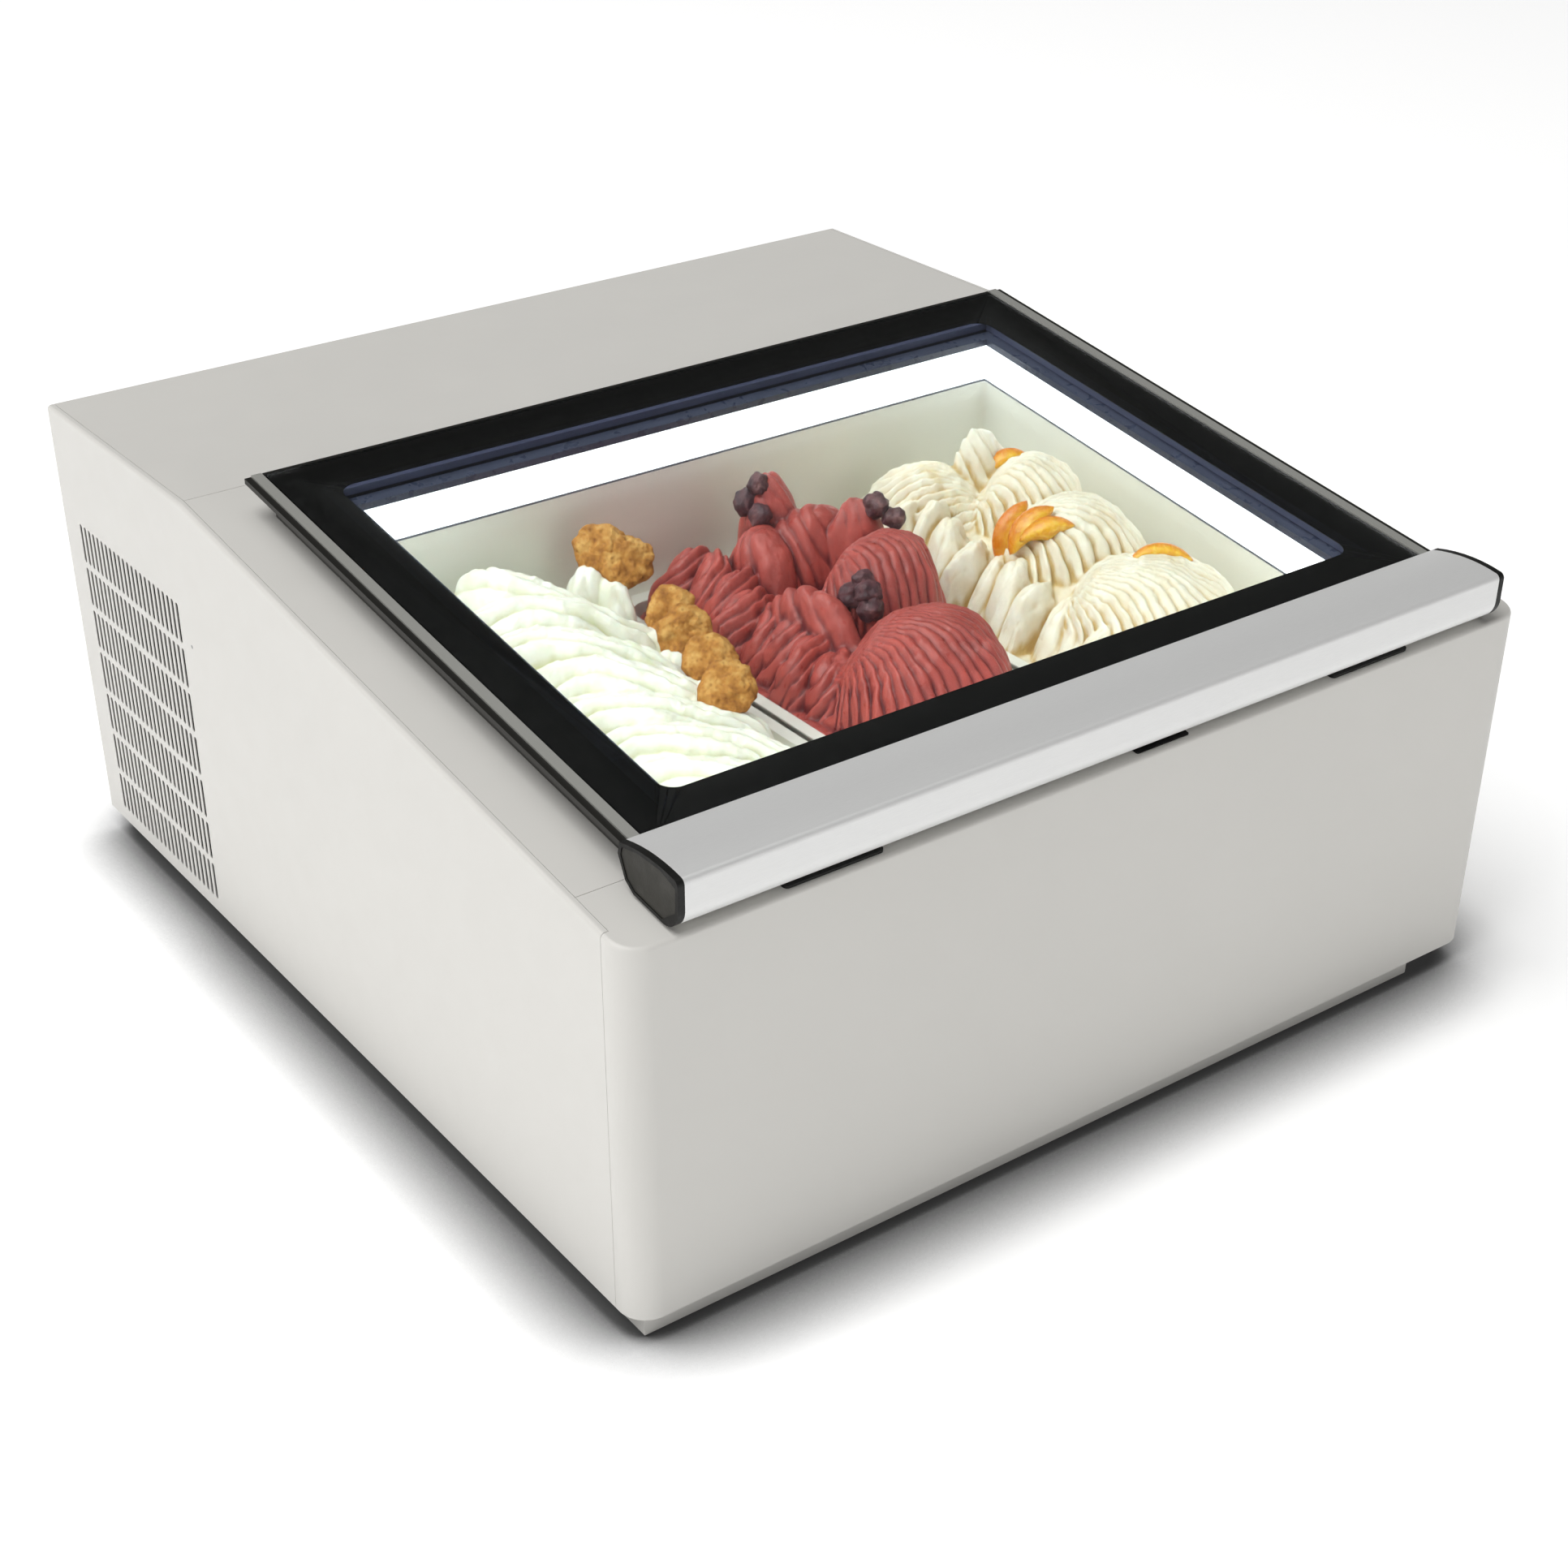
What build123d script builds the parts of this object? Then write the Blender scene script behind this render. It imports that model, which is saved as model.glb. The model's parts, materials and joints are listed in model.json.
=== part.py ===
from build123d import *
import os
from math import atan2, cos, sin, tan

os.makedirs("parts", exist_ok=True)

# Countertop gelato display freezer with a sloping glass lid, hinged at the rear.
# Millimetres. X runs to the right, Y from the front to the back, Z up from the counter.

# ---------------------------------------------------------------- driving dimensions
CABINET_W = 700  # width over the side panels
CABINET_D = 740  # depth of the cabinet
TOP_Z = 343  # flat cover over the machine compartment
FRONT_Z = 270  # front edge of the sloping top
SLOPE_RUN = 523  # horizontal run of the sloping top
PLINTH_Z = 18  # underside of the cabinet
FOOT_T = 2  # rubber foot pads
SHEET = 1.5  # casing sheet
CORNER_R = 18  # upright front corners
EDGE_R = 3  # folded top edges
SEAM = 0.3  # gap between neighbouring panels
HANDLE_LEAD = 4  # how far the handle stands forward of the cabinet

PAN_W, PAN_L, PAN_DEPTH = 165, 360, 120  # five litre gelato pan, over its rim
PAN_PITCH = 170
PAN_RIM_Z = 225
PAN_COUNT = 3

TANK_W = PAN_COUNT * PAN_PITCH + 14  # inside the liner, the pans and their play
TANK_L = 371
TANK_FRONT_SETBACK = 69  # from the cabinet's front to the liner's inner front wall
TANK_FLOOR_Z = 100

LID_HALF_W = 316  # over the side lips
LID_REAR_S = 496.5  # rear lip, measured up the slope from the front edge
GLASS_TOP_H = 25  # glass surface above the slope
WINDOW_HALF_W = 269
WINDOW_S = (84, 461)
LID_AXIS_S, LID_AXIS_H = 486, 9

# ---------------------------------------------------------------- derived dimensions
FRONT_Y = -(CABINET_D - HANDLE_LEAD) / 2
BACK_Y = FRONT_Y + CABINET_D
BREAK_Y = FRONT_Y + SLOPE_RUN
HALF_W = CABINET_W / 2
SLOPE = atan2(TOP_Z - FRONT_Z, SLOPE_RUN)
TANK_FRONT_Y = FRONT_Y + TANK_FRONT_SETBACK
TANK_MID_Y = TANK_FRONT_Y + TANK_L / 2
TANK_REAR_Y = TANK_FRONT_Y + TANK_L
PAN_MID_Y = TANK_MID_Y

# The lid plane: local x is X, local y runs up the slope from the cabinet's front edge,
# and local z is the height h above the sloping top.
slope_plane = Plane(origin=(0, FRONT_Y, FRONT_Z), x_dir=(1, 0, 0), z_dir=(0, -sin(SLOPE), cos(SLOPE)))


def slope_y(s, h):
    """Cabinet Y of a point s up the slope and h above it."""
    return FRONT_Y + s * cos(SLOPE) - h * sin(SLOPE)


def slope_z(s, h):
    """Cabinet Z of a point s up the slope and h above it."""
    return FRONT_Z + s * sin(SLOPE) + h * cos(SLOPE)


def side_outline(inset):
    """Side view of the cabinet as (y, z) points, drawn in on the front and the top."""
    drop = inset / cos(SLOPE)
    front_z = FRONT_Z + inset * tan(SLOPE) - drop
    break_y = BREAK_Y + inset * tan(SLOPE / 2)
    return [
        (FRONT_Y + inset, PLINTH_Z),
        (BACK_Y, PLINTH_Z),
        (BACK_Y, TOP_Z - inset),
        (break_y, TOP_Z - inset),
        (FRONT_Y + inset, front_z),
    ]


def cabinet_block(inset):
    """Solid of the cabinet's outer form, drawn in by inset, with its rounded front corners."""
    with BuildPart() as block:
        with BuildSketch(Plane.YZ.offset(-HALF_W + inset)):
            with BuildLine():
                Polyline(*side_outline(inset), close=True)
            make_face()
        extrude(amount=CABINET_W - 2 * inset)
        uprights = block.edges().filter_by(Axis.Z).group_by(Axis.Y)[0]
        fillet(uprights, CORNER_R - inset)
        if inset < EDGE_R:
            top = block.faces().filter_by(lambda f: f.normal_at().Z > 0.9)
            rim = [e for e in top.edges() if abs(e.center().X) > 1 or e.center().Y < FRONT_Y + CORNER_R]
            fillet(rim, EDGE_R - inset)
    return block.part


outer_block = cabinet_block(0)
inner_block = cabinet_block(SHEET)
lining_block = cabinet_block(SHEET + 0.5)
with BuildPart() as casing:
    add(outer_block)
    add(inner_block, mode=Mode.SUBTRACT)


def zone(x, y, z):
    """Block between two corner values on each axis, used to pick a piece out of the casing."""
    with BuildPart() as block:
        with Locations(((x[0] + x[1]) / 2, (y[0] + y[1]) / 2, (z[0] + z[1]) / 2)):
            Box(x[1] - x[0], y[1] - y[0], z[1] - z[0])
    return block.part


def pipe(points, radius, bend):
    """Round tube along straight runs joined by bends."""
    with BuildLine() as route:
        FilletPolyline(*points, radius=bend)
    path = route.wire()
    with BuildPart() as tube:
        with BuildSketch(Plane(origin=path @ 0, z_dir=path % 0)):
            Circle(radius)
        sweep(path=path)
    return tube.part


# ================================================================ cabinet base
PLINTH_T = 2
PLINTH_LEFT, PLINTH_RIGHT, PLINTH_FRONT, PLINTH_BACK = 10, 50, 8, 40  # set in from each side
PLINTH_FLANGE = 30
PLINTH_W = CABINET_W - PLINTH_LEFT - PLINTH_RIGHT
PLINTH_L = CABINET_D - PLINTH_FRONT - PLINTH_BACK
PLINTH_MID = ((PLINTH_LEFT - PLINTH_RIGHT) / 2, FRONT_Y + PLINTH_FRONT + PLINTH_L / 2)

with BuildPart() as base_plinth:
    with BuildSketch(Plane.XY.offset(FOOT_T)):
        with Locations(PLINTH_MID):
            Rectangle(PLINTH_W, PLINTH_L)
            Rectangle(PLINTH_W - 2 * PLINTH_T, PLINTH_L - 2 * PLINTH_T, mode=Mode.SUBTRACT)
    extrude(amount=PLINTH_Z - FOOT_T)
    with BuildSketch(Plane.XY.offset(FOOT_T)):
        with Locations(PLINTH_MID):
            Rectangle(PLINTH_W, PLINTH_L)
            Rectangle(PLINTH_W - 2 * PLINTH_FLANGE, PLINTH_L - 2 * PLINTH_FLANGE, mode=Mode.SUBTRACT)
    extrude(amount=PLINTH_T)
base_plinth.part.label = "base_plinth"
export_step(base_plinth.part, "parts/base_plinth.step")

FOOT_R = 13
with BuildPart() as rubber_feet:
    with BuildSketch(Plane.XY):
        with Locations(PLINTH_MID):
            with GridLocations(PLINTH_W - PLINTH_FLANGE, PLINTH_L - PLINTH_FLANGE, 2, 2):
                Circle(FOOT_R)
    extrude(amount=FOOT_T)
rubber_feet.part.label = "rubber_feet"
export_step(rubber_feet.part, "parts/rubber_feet.step")

BASE_T = 2
REAR_RECESS = 4  # rear panel set in from the cabinet's back
REAR_FACE_Y = BACK_Y - REAR_RECESS
base_block = cabinet_block(SHEET + SEAM)
with BuildPart() as base_plate:
    add(base_block)
    add(zone((-HALF_W, HALF_W), (FRONT_Y, REAR_FACE_Y), (PLINTH_Z, PLINTH_Z + BASE_T)), mode=Mode.INTERSECT)
base_plate.part.label = "base_plate"
export_step(base_plate.part, "parts/base_plate.step")
FLOOR_Z = PLINTH_Z + BASE_T

# ================================================================ casing panels
SIDE_FLANGE = 5  # fold of the side panels onto the top
FRONT_WRAP = CORNER_R + 4  # front panel's return round the upright corners
FRONT_LIP = 54  # front panel's fold up the slope
TOP_HALF_W = HALF_W - SIDE_FLANGE - SEAM

GRILLE_COLUMNS, GRILLE_ROWS = 23, 7
GRILLE_PITCH_Y, GRILLE_PITCH_Z = 7.4, 34
GRILLE_SLOT_W, GRILLE_SLOT_L = 3.8, 30
GRILLE_SHEET = 0.7  # the slotted field is coined thinner from inside
GRILLE_Y = FRONT_Y + 629
GRILLE_Z = 146
SCREW_HEAD_R, SCREW_HEAD_H = 2.6, 1.2
SIDE_SCREW_R = SCREW_HEAD_R / 2
SIDE_SCREW_Y, SIDE_SCREW_Z = FRONT_Y + 530, 237


def side_panel_shell(side):
    """Side wall with its folded top edge and the slotted grille beside the machine compartment."""
    edges_x = sorted((side * HALF_W, side * (HALF_W - SIDE_FLANGE)))
    with BuildPart() as panel:
        add(casing.part)
        add(zone(edges_x, (FRONT_Y + FRONT_WRAP + SEAM, BACK_Y), (PLINTH_Z, TOP_Z)), mode=Mode.INTERSECT)
        with BuildSketch(Plane.YZ.offset(side * HALF_W)):
            with Locations((GRILLE_Y, GRILLE_Z)):
                with GridLocations(GRILLE_PITCH_Y, GRILLE_PITCH_Z, GRILLE_COLUMNS, GRILLE_ROWS):
                    SlotOverall(GRILLE_SLOT_L, GRILLE_SLOT_W, rotation=90)
            with Locations((SIDE_SCREW_Y, SIDE_SCREW_Z)):
                Circle(SIDE_SCREW_R + 0.1)
        extrude(amount=-side * 2 * SHEET, mode=Mode.SUBTRACT)
        with BuildSketch(Plane.YZ.offset(side * (HALF_W - GRILLE_SHEET))):
            with Locations((GRILLE_Y, GRILLE_Z)):
                Rectangle(GRILLE_COLUMNS * GRILLE_PITCH_Y, GRILLE_ROWS * GRILLE_PITCH_Z)
        extrude(amount=-side * SHEET, mode=Mode.SUBTRACT)
    return panel.part


with BuildPart() as side_panel_left:
    add(side_panel_shell(-1))
side_panel_left.part.label = "side_panel_left"
export_step(side_panel_left.part, "parts/side_panel_left.step")

with BuildPart() as side_panel_right:
    add(side_panel_shell(1))
side_panel_right.part.label = "side_panel_right"
export_step(side_panel_right.part, "parts/side_panel_right.step")

with BuildPart() as front_zone:
    add(zone((-HALF_W, HALF_W), (FRONT_Y, FRONT_Y + FRONT_WRAP), (PLINTH_Z, TOP_Z)))
    add(zone((-TOP_HALF_W, TOP_HALF_W), (FRONT_Y, FRONT_Y + FRONT_LIP), (FRONT_Z - 20, TOP_Z)))
with BuildPart() as front_panel:
    add(casing.part)
    add(front_zone.part, mode=Mode.INTERSECT)
front_panel.part.label = "front_panel"
export_step(front_panel.part, "parts/front_panel.step")

COLLAR_T = 10  # wall of the light frame round the tank mouth
MOUTH_GAP = 0.6
MOUTH_HALF_W = TANK_W / 2 + COLLAR_T + MOUTH_GAP
MOUTH_Y = (TANK_FRONT_Y - COLLAR_T - MOUTH_GAP, TANK_REAR_Y + COLLAR_T + MOUTH_GAP)
with BuildPart() as slope_surround:
    add(casing.part)
    surround_y = (FRONT_Y + FRONT_LIP + SEAM, BREAK_Y - SEAM / 2)
    add(zone((-TOP_HALF_W, TOP_HALF_W), surround_y, (FRONT_Z, TOP_Z)), mode=Mode.INTERSECT)
    add(zone((-MOUTH_HALF_W, MOUTH_HALF_W), MOUTH_Y, (FRONT_Z, TOP_Z)), mode=Mode.SUBTRACT)
slope_surround.part.label = "slope_surround"
export_step(slope_surround.part, "parts/slope_surround.step")

COVER_FLANGE = 12
with BuildPart() as top_cover:
    add(casing.part)
    add(zone((-TOP_HALF_W, TOP_HALF_W), (BREAK_Y + SEAM / 2, BACK_Y), (FRONT_Z, TOP_Z)), mode=Mode.INTERSECT)
    flange_z = (TOP_Z - SHEET - COVER_FLANGE, TOP_Z - SHEET)
    add(zone((-TOP_HALF_W, TOP_HALF_W), (BACK_Y - SHEET, BACK_Y), flange_z))
top_cover.part.label = "top_cover"
export_step(top_cover.part, "parts/top_cover.step")

CONTROL_X, CONTROL_Z = -150, 300
CONTROL_CUT_W, CONTROL_CUT_H = 71, 29
INLET_X, INLET_Z = 285, 82
INLET_CUT_W, INLET_CUT_H = 48, 60
REAR_SLOT_W, REAR_SLOT_L = 4, 34
REAR_VENT_X, REAR_VENT_Z = 110, 150
REAR_VENT_COLUMNS, REAR_VENT_ROWS = 26, 5
INNER_HALF_W = HALF_W - SHEET - SEAM
with BuildPart() as rear_panel:
    panel_z = (FLOOR_Z, TOP_Z - SHEET - SEAM)
    add(zone((-INNER_HALF_W, INNER_HALF_W), (REAR_FACE_Y - SHEET, REAR_FACE_Y), panel_z))
    with BuildSketch(Plane.XZ.offset(-REAR_FACE_Y)):
        with Locations((CONTROL_X, CONTROL_Z)):
            Rectangle(CONTROL_CUT_W + 1, CONTROL_CUT_H + 1)
        with Locations((INLET_X, INLET_Z)):
            Rectangle(INLET_CUT_W + 1, INLET_CUT_H + 1)
        with Locations((REAR_VENT_X, REAR_VENT_Z)):
            with GridLocations(2.2 * REAR_SLOT_W, 1.25 * REAR_SLOT_L, REAR_VENT_COLUMNS, REAR_VENT_ROWS):
                SlotOverall(REAR_SLOT_L, REAR_SLOT_W, rotation=90)
    extrude(amount=2 * SHEET, mode=Mode.SUBTRACT)
rear_panel.part.label = "rear_panel"
export_step(rear_panel.part, "parts/rear_panel.step")

with BuildPart() as cover_screws:
    for side in (-1, 1):
        with BuildSketch(Plane.YZ.offset(side * (HALF_W - 0.6 * SHEET))):
            with Locations((SIDE_SCREW_Y, SIDE_SCREW_Z)):
                Circle(SIDE_SCREW_R)
        extrude(amount=side * 0.6 * SHEET)
    with BuildSketch(Plane.XZ.offset(-REAR_FACE_Y)):
        for screw_z in (FLOOR_Z + 12, TOP_Z - 24):
            with Locations((0, screw_z)):
                with GridLocations(CABINET_W / 2 - 20, 1, 3, 1):
                    Circle(SCREW_HEAD_R)
    extrude(amount=-SCREW_HEAD_H)
cover_screws.part.label = "cover_screws"
export_step(cover_screws.part, "parts/cover_screws.step")

BADGE_W, BADGE_S, BADGE_H = 42, 6, 0.8
BADGE_X = 33
with BuildPart() as badge_plate:
    with BuildSketch(slope_plane):
        with Locations((BADGE_X, 7)):
            RectangleRounded(BADGE_W, BADGE_S, 1.5)
    extrude(amount=BADGE_H)
badge_plate.part.label = "badge_plate"
export_step(badge_plate.part, "parts/badge_plate.step")

BUFFER_W, BUFFER_S, BUFFER_H = 68, 26, 1.8
BUFFER_X = 210
with BuildPart() as lid_buffers:
    with BuildSketch(slope_plane):
        with Locations((-BUFFER_X, 4 + BUFFER_S / 2), (BUFFER_X, 4 + BUFFER_S / 2)):
            RectangleRounded(BUFFER_W, BUFFER_S, 3)
    extrude(amount=BUFFER_H)
lid_buffers.part.label = "lid_buffers"
export_step(lid_buffers.part, "parts/lid_buffers.step")

# ================================================================ cold tank
LIGHT_LOW_H, LIGHT_HIGH_H = -19.5, 12  # light frame, measured square to the slope
LIGHT_BROW = 4.5  # dark upper flange of the light frame
PARTITION_Y = FRONT_Y + 512
PARTITION_T = 1.5
LINER_GAP = 0.2
LINER_HALF_W = TANK_W / 2 + SHEET
TANK_CORNER_R = 6
COIL_R, COIL_FLAT = 4, 0.3
COIL_BEND = TANK_CORNER_R + SHEET + LINER_GAP + COIL_R
RISER_R = 3.2
COIL_LEVELS = (130, 160, 190, 220)
COIL_HALF_W = LINER_HALF_W + LINER_GAP + COIL_R
COIL_L = TANK_L + 2 * (SHEET + LINER_GAP + COIL_R)
COIL_REAR_Y = TANK_MID_Y + COIL_L / 2
SUCTION_X, SUCTION_Z = -20, 262
LIQUID_X, LIQUID_Z = -60, 240


def sloped_ring(outer, inner, h):
    """Upright rectangular ring round the tank mouth, its ends cut parallel to the slope."""
    with BuildPart() as ring:
        with BuildSketch(Plane.XY.offset(TANK_FLOOR_Z)):
            with Locations((0, TANK_MID_Y)):
                Rectangle(TANK_W + 2 * outer, TANK_L + 2 * outer)
                Rectangle(TANK_W + 2 * inner, TANK_L + 2 * inner, mode=Mode.SUBTRACT)
        extrude(amount=TOP_Z)
        split(bisect_by=slope_plane.offset(h[0]), keep=Keep.TOP)
        split(bisect_by=slope_plane.offset(h[1]), keep=Keep.BOTTOM)
    return ring.part


def corner_slits(offset, width):
    """Thin cutters that part a ring round the tank mouth into four straight lengths."""
    with BuildPart() as cutters:
        for side_x in (-1, 1):
            for side_y in (-1, 1):
                x = side_x * (TANK_W / 2 + offset)
                y = TANK_MID_Y + side_y * (TANK_L / 2 + COLLAR_T / 2)
                with Locations((x, y, TOP_Z / 2 + FRONT_Z / 2)):
                    Box(width, COLLAR_T, TOP_Z)
    return cutters.part


with BuildPart() as tank_liner:
    with BuildSketch(Plane.XY.offset(TANK_FLOOR_Z - SHEET)):
        with Locations((0, TANK_MID_Y)):
            RectangleRounded(TANK_W + 2 * SHEET, TANK_L + 2 * SHEET, TANK_CORNER_R + SHEET)
    extrude(amount=TOP_Z - TANK_FLOOR_Z)
    with BuildSketch(Plane.XY.offset(TANK_FLOOR_Z)):
        with Locations((0, TANK_MID_Y)):
            RectangleRounded(TANK_W, TANK_L, TANK_CORNER_R)
    extrude(amount=TOP_Z, mode=Mode.SUBTRACT)
    split(bisect_by=slope_plane.offset(LIGHT_LOW_H), keep=Keep.BOTTOM)
tank_liner.part.label = "tank_liner"
export_step(tank_liner.part, "parts/tank_liner.step")

with BuildPart() as light_frame:
    add(sloped_ring(COLLAR_T, 0, (LIGHT_LOW_H, LIGHT_HIGH_H)))
    add(sloped_ring(COLLAR_T - SHEET, -1, (LIGHT_LOW_H + SHEET, LIGHT_HIGH_H - LIGHT_BROW)), mode=Mode.SUBTRACT)
light_frame.part.label = "light_frame"
export_step(light_frame.part, "parts/light_frame.step")

DIFFUSER_T = 2.5
with BuildPart() as light_diffusers:
    add(sloped_ring(DIFFUSER_T + 0.2, 0.2, (LIGHT_LOW_H + SHEET + 0.1, LIGHT_HIGH_H - LIGHT_BROW - 0.1)))
    add(corner_slits(0.1, 0.2), mode=Mode.SUBTRACT)
light_diffusers.part.label = "light_diffusers"
export_step(light_diffusers.part, "parts/light_diffusers.step")

STRIP_T = 1.6
with BuildPart() as led_strips:
    add(sloped_ring(COLLAR_T - SHEET, COLLAR_T - SHEET - STRIP_T, (-6, 4)))
    add(corner_slits(COLLAR_T - SHEET - STRIP_T - 1, 2), mode=Mode.SUBTRACT)
led_strips.part.label = "led_strips"
export_step(led_strips.part, "parts/led_strips.step")

RAIL_T = 1.2
RAIL_LEDGE = 13
RAIL_DROP = 18
PAN_RIM_T = 1.2
PAN_WALL = 0.9
LEDGE_TOP_Z = PAN_RIM_Z - PAN_RIM_T
RAIL_HALF_W = TANK_W / 2 - 8
with BuildPart() as pan_rails:
    for wall_y, inward in ((TANK_FRONT_Y, 1), (TANK_REAR_Y, -1)):
        ledge_y = sorted((wall_y, wall_y + inward * RAIL_LEDGE))
        leg_y = sorted((wall_y, wall_y + inward * RAIL_T))
        add(zone((-RAIL_HALF_W, RAIL_HALF_W), ledge_y, (LEDGE_TOP_Z - RAIL_T, LEDGE_TOP_Z)))
        add(zone((-RAIL_HALF_W, RAIL_HALF_W), leg_y, (LEDGE_TOP_Z - RAIL_DROP, LEDGE_TOP_Z)))
pan_rails.part.label = "pan_rails"
export_step(pan_rails.part, "parts/pan_rails.step")



with BuildPart() as evaporator_coil:
    for level in COIL_LEVELS:
        with BuildSketch(Plane.XY.offset(level - COIL_R)):
            with Locations((0, TANK_MID_Y)):
                for side, mode in ((1, Mode.ADD), (-1, Mode.SUBTRACT)):
                    grow = side * COIL_R
                    loop_w, loop_l = 2 * (COIL_HALF_W + grow), COIL_L + 2 * grow
                    RectangleRounded(loop_w, loop_l, COIL_BEND + grow, mode=mode)
        extrude(amount=2 * COIL_R)
    rims = [e for z in COIL_LEVELS for e in evaporator_coil.edges().filter_by_position(Axis.Z, z - 5, z + 5)]
    fillet([e for e in rims if abs(e.tangent_at(0).Z) < 0.5], COIL_R - COIL_FLAT)
    for riser_x, outlet_z in ((SUCTION_X, SUCTION_Z), (LIQUID_X, LIQUID_Z)):
        start, corner = (riser_x, COIL_REAR_Y, COIL_LEVELS[0]), (riser_x, COIL_REAR_Y, outlet_z)
        add(pipe((start, corner, (riser_x, PARTITION_Y, outlet_z)), RISER_R, 8))
evaporator_coil.part.label = "evaporator_coil"
export_step(evaporator_coil.part, "parts/evaporator_coil.step")

GROOVE = 2 * COIL_R + 2 * LINER_GAP
BOARD_GAP = 0.3  # between the floor board and the wall boards of foam
with BuildPart() as foam_insulation:
    add(lining_block)
    add(zone((-HALF_W, HALF_W), (FRONT_Y, PARTITION_Y), (FLOOR_Z, TOP_Z)), mode=Mode.INTERSECT)
    tank_x = LINER_HALF_W + LINER_GAP
    tank_y = (TANK_FRONT_Y - SHEET - LINER_GAP, TANK_REAR_Y + SHEET + LINER_GAP)
    add(zone((-tank_x, tank_x), tank_y, (TANK_FLOOR_Z - SHEET, TOP_Z)), mode=Mode.SUBTRACT)
    groove_y = (tank_y[0] - GROOVE, tank_y[1] + GROOVE)
    groove_z = (COIL_LEVELS[0] - COIL_R - 1, COIL_LEVELS[-1] + COIL_R + 1)
    add(zone((-tank_x - GROOVE, tank_x + GROOVE), groove_y, groove_z), mode=Mode.SUBTRACT)
    riser_z = (groove_z[0], SUCTION_Z + COIL_R + 1)
    add(zone((LIQUID_X - 6, SUCTION_X + 6), (tank_y[1], groove_y[1]), riser_z), mode=Mode.SUBTRACT)
    for outlet_x, outlet_z in ((SUCTION_X, SUCTION_Z), (LIQUID_X, LIQUID_Z)):
        outlet = ((outlet_x - 5, outlet_x + 5), (tank_y[1], PARTITION_Y), (outlet_z - 5, outlet_z + 5))
        add(zone(*outlet), mode=Mode.SUBTRACT)
    with BuildSketch(slope_plane.offset(LIGHT_LOW_H - 0.2)):
        with Locations((0, (MOUTH_Y[0] + MOUTH_Y[1]) / 2 - FRONT_Y + 2)):
            Rectangle(2 * MOUTH_HALF_W, MOUTH_Y[1] - MOUTH_Y[0] + 14)
    extrude(amount=30, mode=Mode.SUBTRACT)
    board_y = (FRONT_Y, PARTITION_Y)
    board_z = TANK_FLOOR_Z - SHEET
    add(zone((-HALF_W, HALF_W), board_y, (board_z, board_z + BOARD_GAP)), mode=Mode.SUBTRACT)
    for side in (-1, 1):
        joint_x = sorted((side * tank_x, side * (tank_x + BOARD_GAP)))
        add(zone(joint_x, board_y, (board_z, TOP_Z)), mode=Mode.SUBTRACT)
foam_insulation.part.label = "foam_insulation"
export_step(foam_insulation.part, "parts/foam_insulation.step")

# ================================================================ pans and gelato
PAN_BODY_INSET, PAN_FLOOR_INSET = 8, 16  # pan body inside its rim, at the top and at the floor
PAN_BODY_R = 18


def pan_body(x):
    """Drawn steel pan with a flat rim."""
    floor_z = PAN_RIM_Z - PAN_DEPTH
    with BuildPart() as pan:
        for z, inset in ((floor_z, PAN_FLOOR_INSET), (PAN_RIM_Z, PAN_BODY_INSET)):
            with BuildSketch(Plane.XY.offset(z)):
                with Locations((x, PAN_MID_Y)):
                    RectangleRounded(PAN_W - 2 * inset, PAN_L - 2 * inset, PAN_BODY_R)
        loft()
        with BuildSketch(Plane.XY.offset(LEDGE_TOP_Z)):
            with Locations((x, PAN_MID_Y)):
                RectangleRounded(PAN_W, PAN_L, 10)
        extrude(amount=PAN_RIM_T)
        for z, inset in ((floor_z + PAN_WALL, PAN_FLOOR_INSET), (PAN_RIM_Z, PAN_BODY_INSET)):
            with BuildSketch(Plane.XY.offset(z)):
                with Locations((x, PAN_MID_Y)):
                    inner = inset + PAN_WALL
                    RectangleRounded(PAN_W - 2 * inner, PAN_L - 2 * inner, PAN_BODY_R - PAN_WALL)
        loft(mode=Mode.SUBTRACT)
    return pan.part


COOKIE_R, COOKIE_T = 16, 8
BERRY_R = 8
PEEL_R, PEEL_T = 14, 7
cookie_places = ((-99, 44), (-97, 20), (-99, -40), (-106, -70), (-115, -105), (-122, -136))
cookie_spots = [Location((x, y, 262), (0, 62, 12)) for x, y in cookie_places]
berry_places = ((22, 22), (34, 10), (58, -12), (-6, -104), (10, -98), (2, -116))
berry_spots = [Location((x, y, 284)) for x, y in berry_places]
peel_places = ((198, -14), (152, -95), (196, -172))
peel_spots = [Location((x, y, 284), (8, 12, 0)) for x, y in peel_places]
FILL_GAP = 0.4
# Height, inset from the rim's outline and corner radius of each level of the gelato.
FILL_LEVELS = (
    (PAN_RIM_Z - PAN_DEPTH + PAN_WALL + FILL_GAP, PAN_FLOOR_INSET + PAN_WALL + FILL_GAP, PAN_BODY_R),
    (PAN_RIM_Z, PAN_BODY_INSET + PAN_WALL + FILL_GAP, PAN_BODY_R),
    (262, 17, 24),
    (285, 42, 26),
)


def gelato_body(x, spots, radius, thickness):
    """Gelato that fills one pan and is heaped above its rim, with a pocket for each topping."""
    with BuildPart() as gelato:
        for z, inset, corner in FILL_LEVELS:
            with BuildSketch(Plane.XY.offset(z)):
                with Locations((x, PAN_MID_Y)):
                    RectangleRounded(PAN_W - 2 * inset, PAN_L - 2 * inset, corner)
        loft(ruled=True)
        with Locations(*spots):
            if thickness:
                Cylinder(radius + FILL_GAP, thickness + 2 * FILL_GAP, mode=Mode.SUBTRACT)
            else:
                Sphere(radius + FILL_GAP, mode=Mode.SUBTRACT)
    return gelato.part


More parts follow.
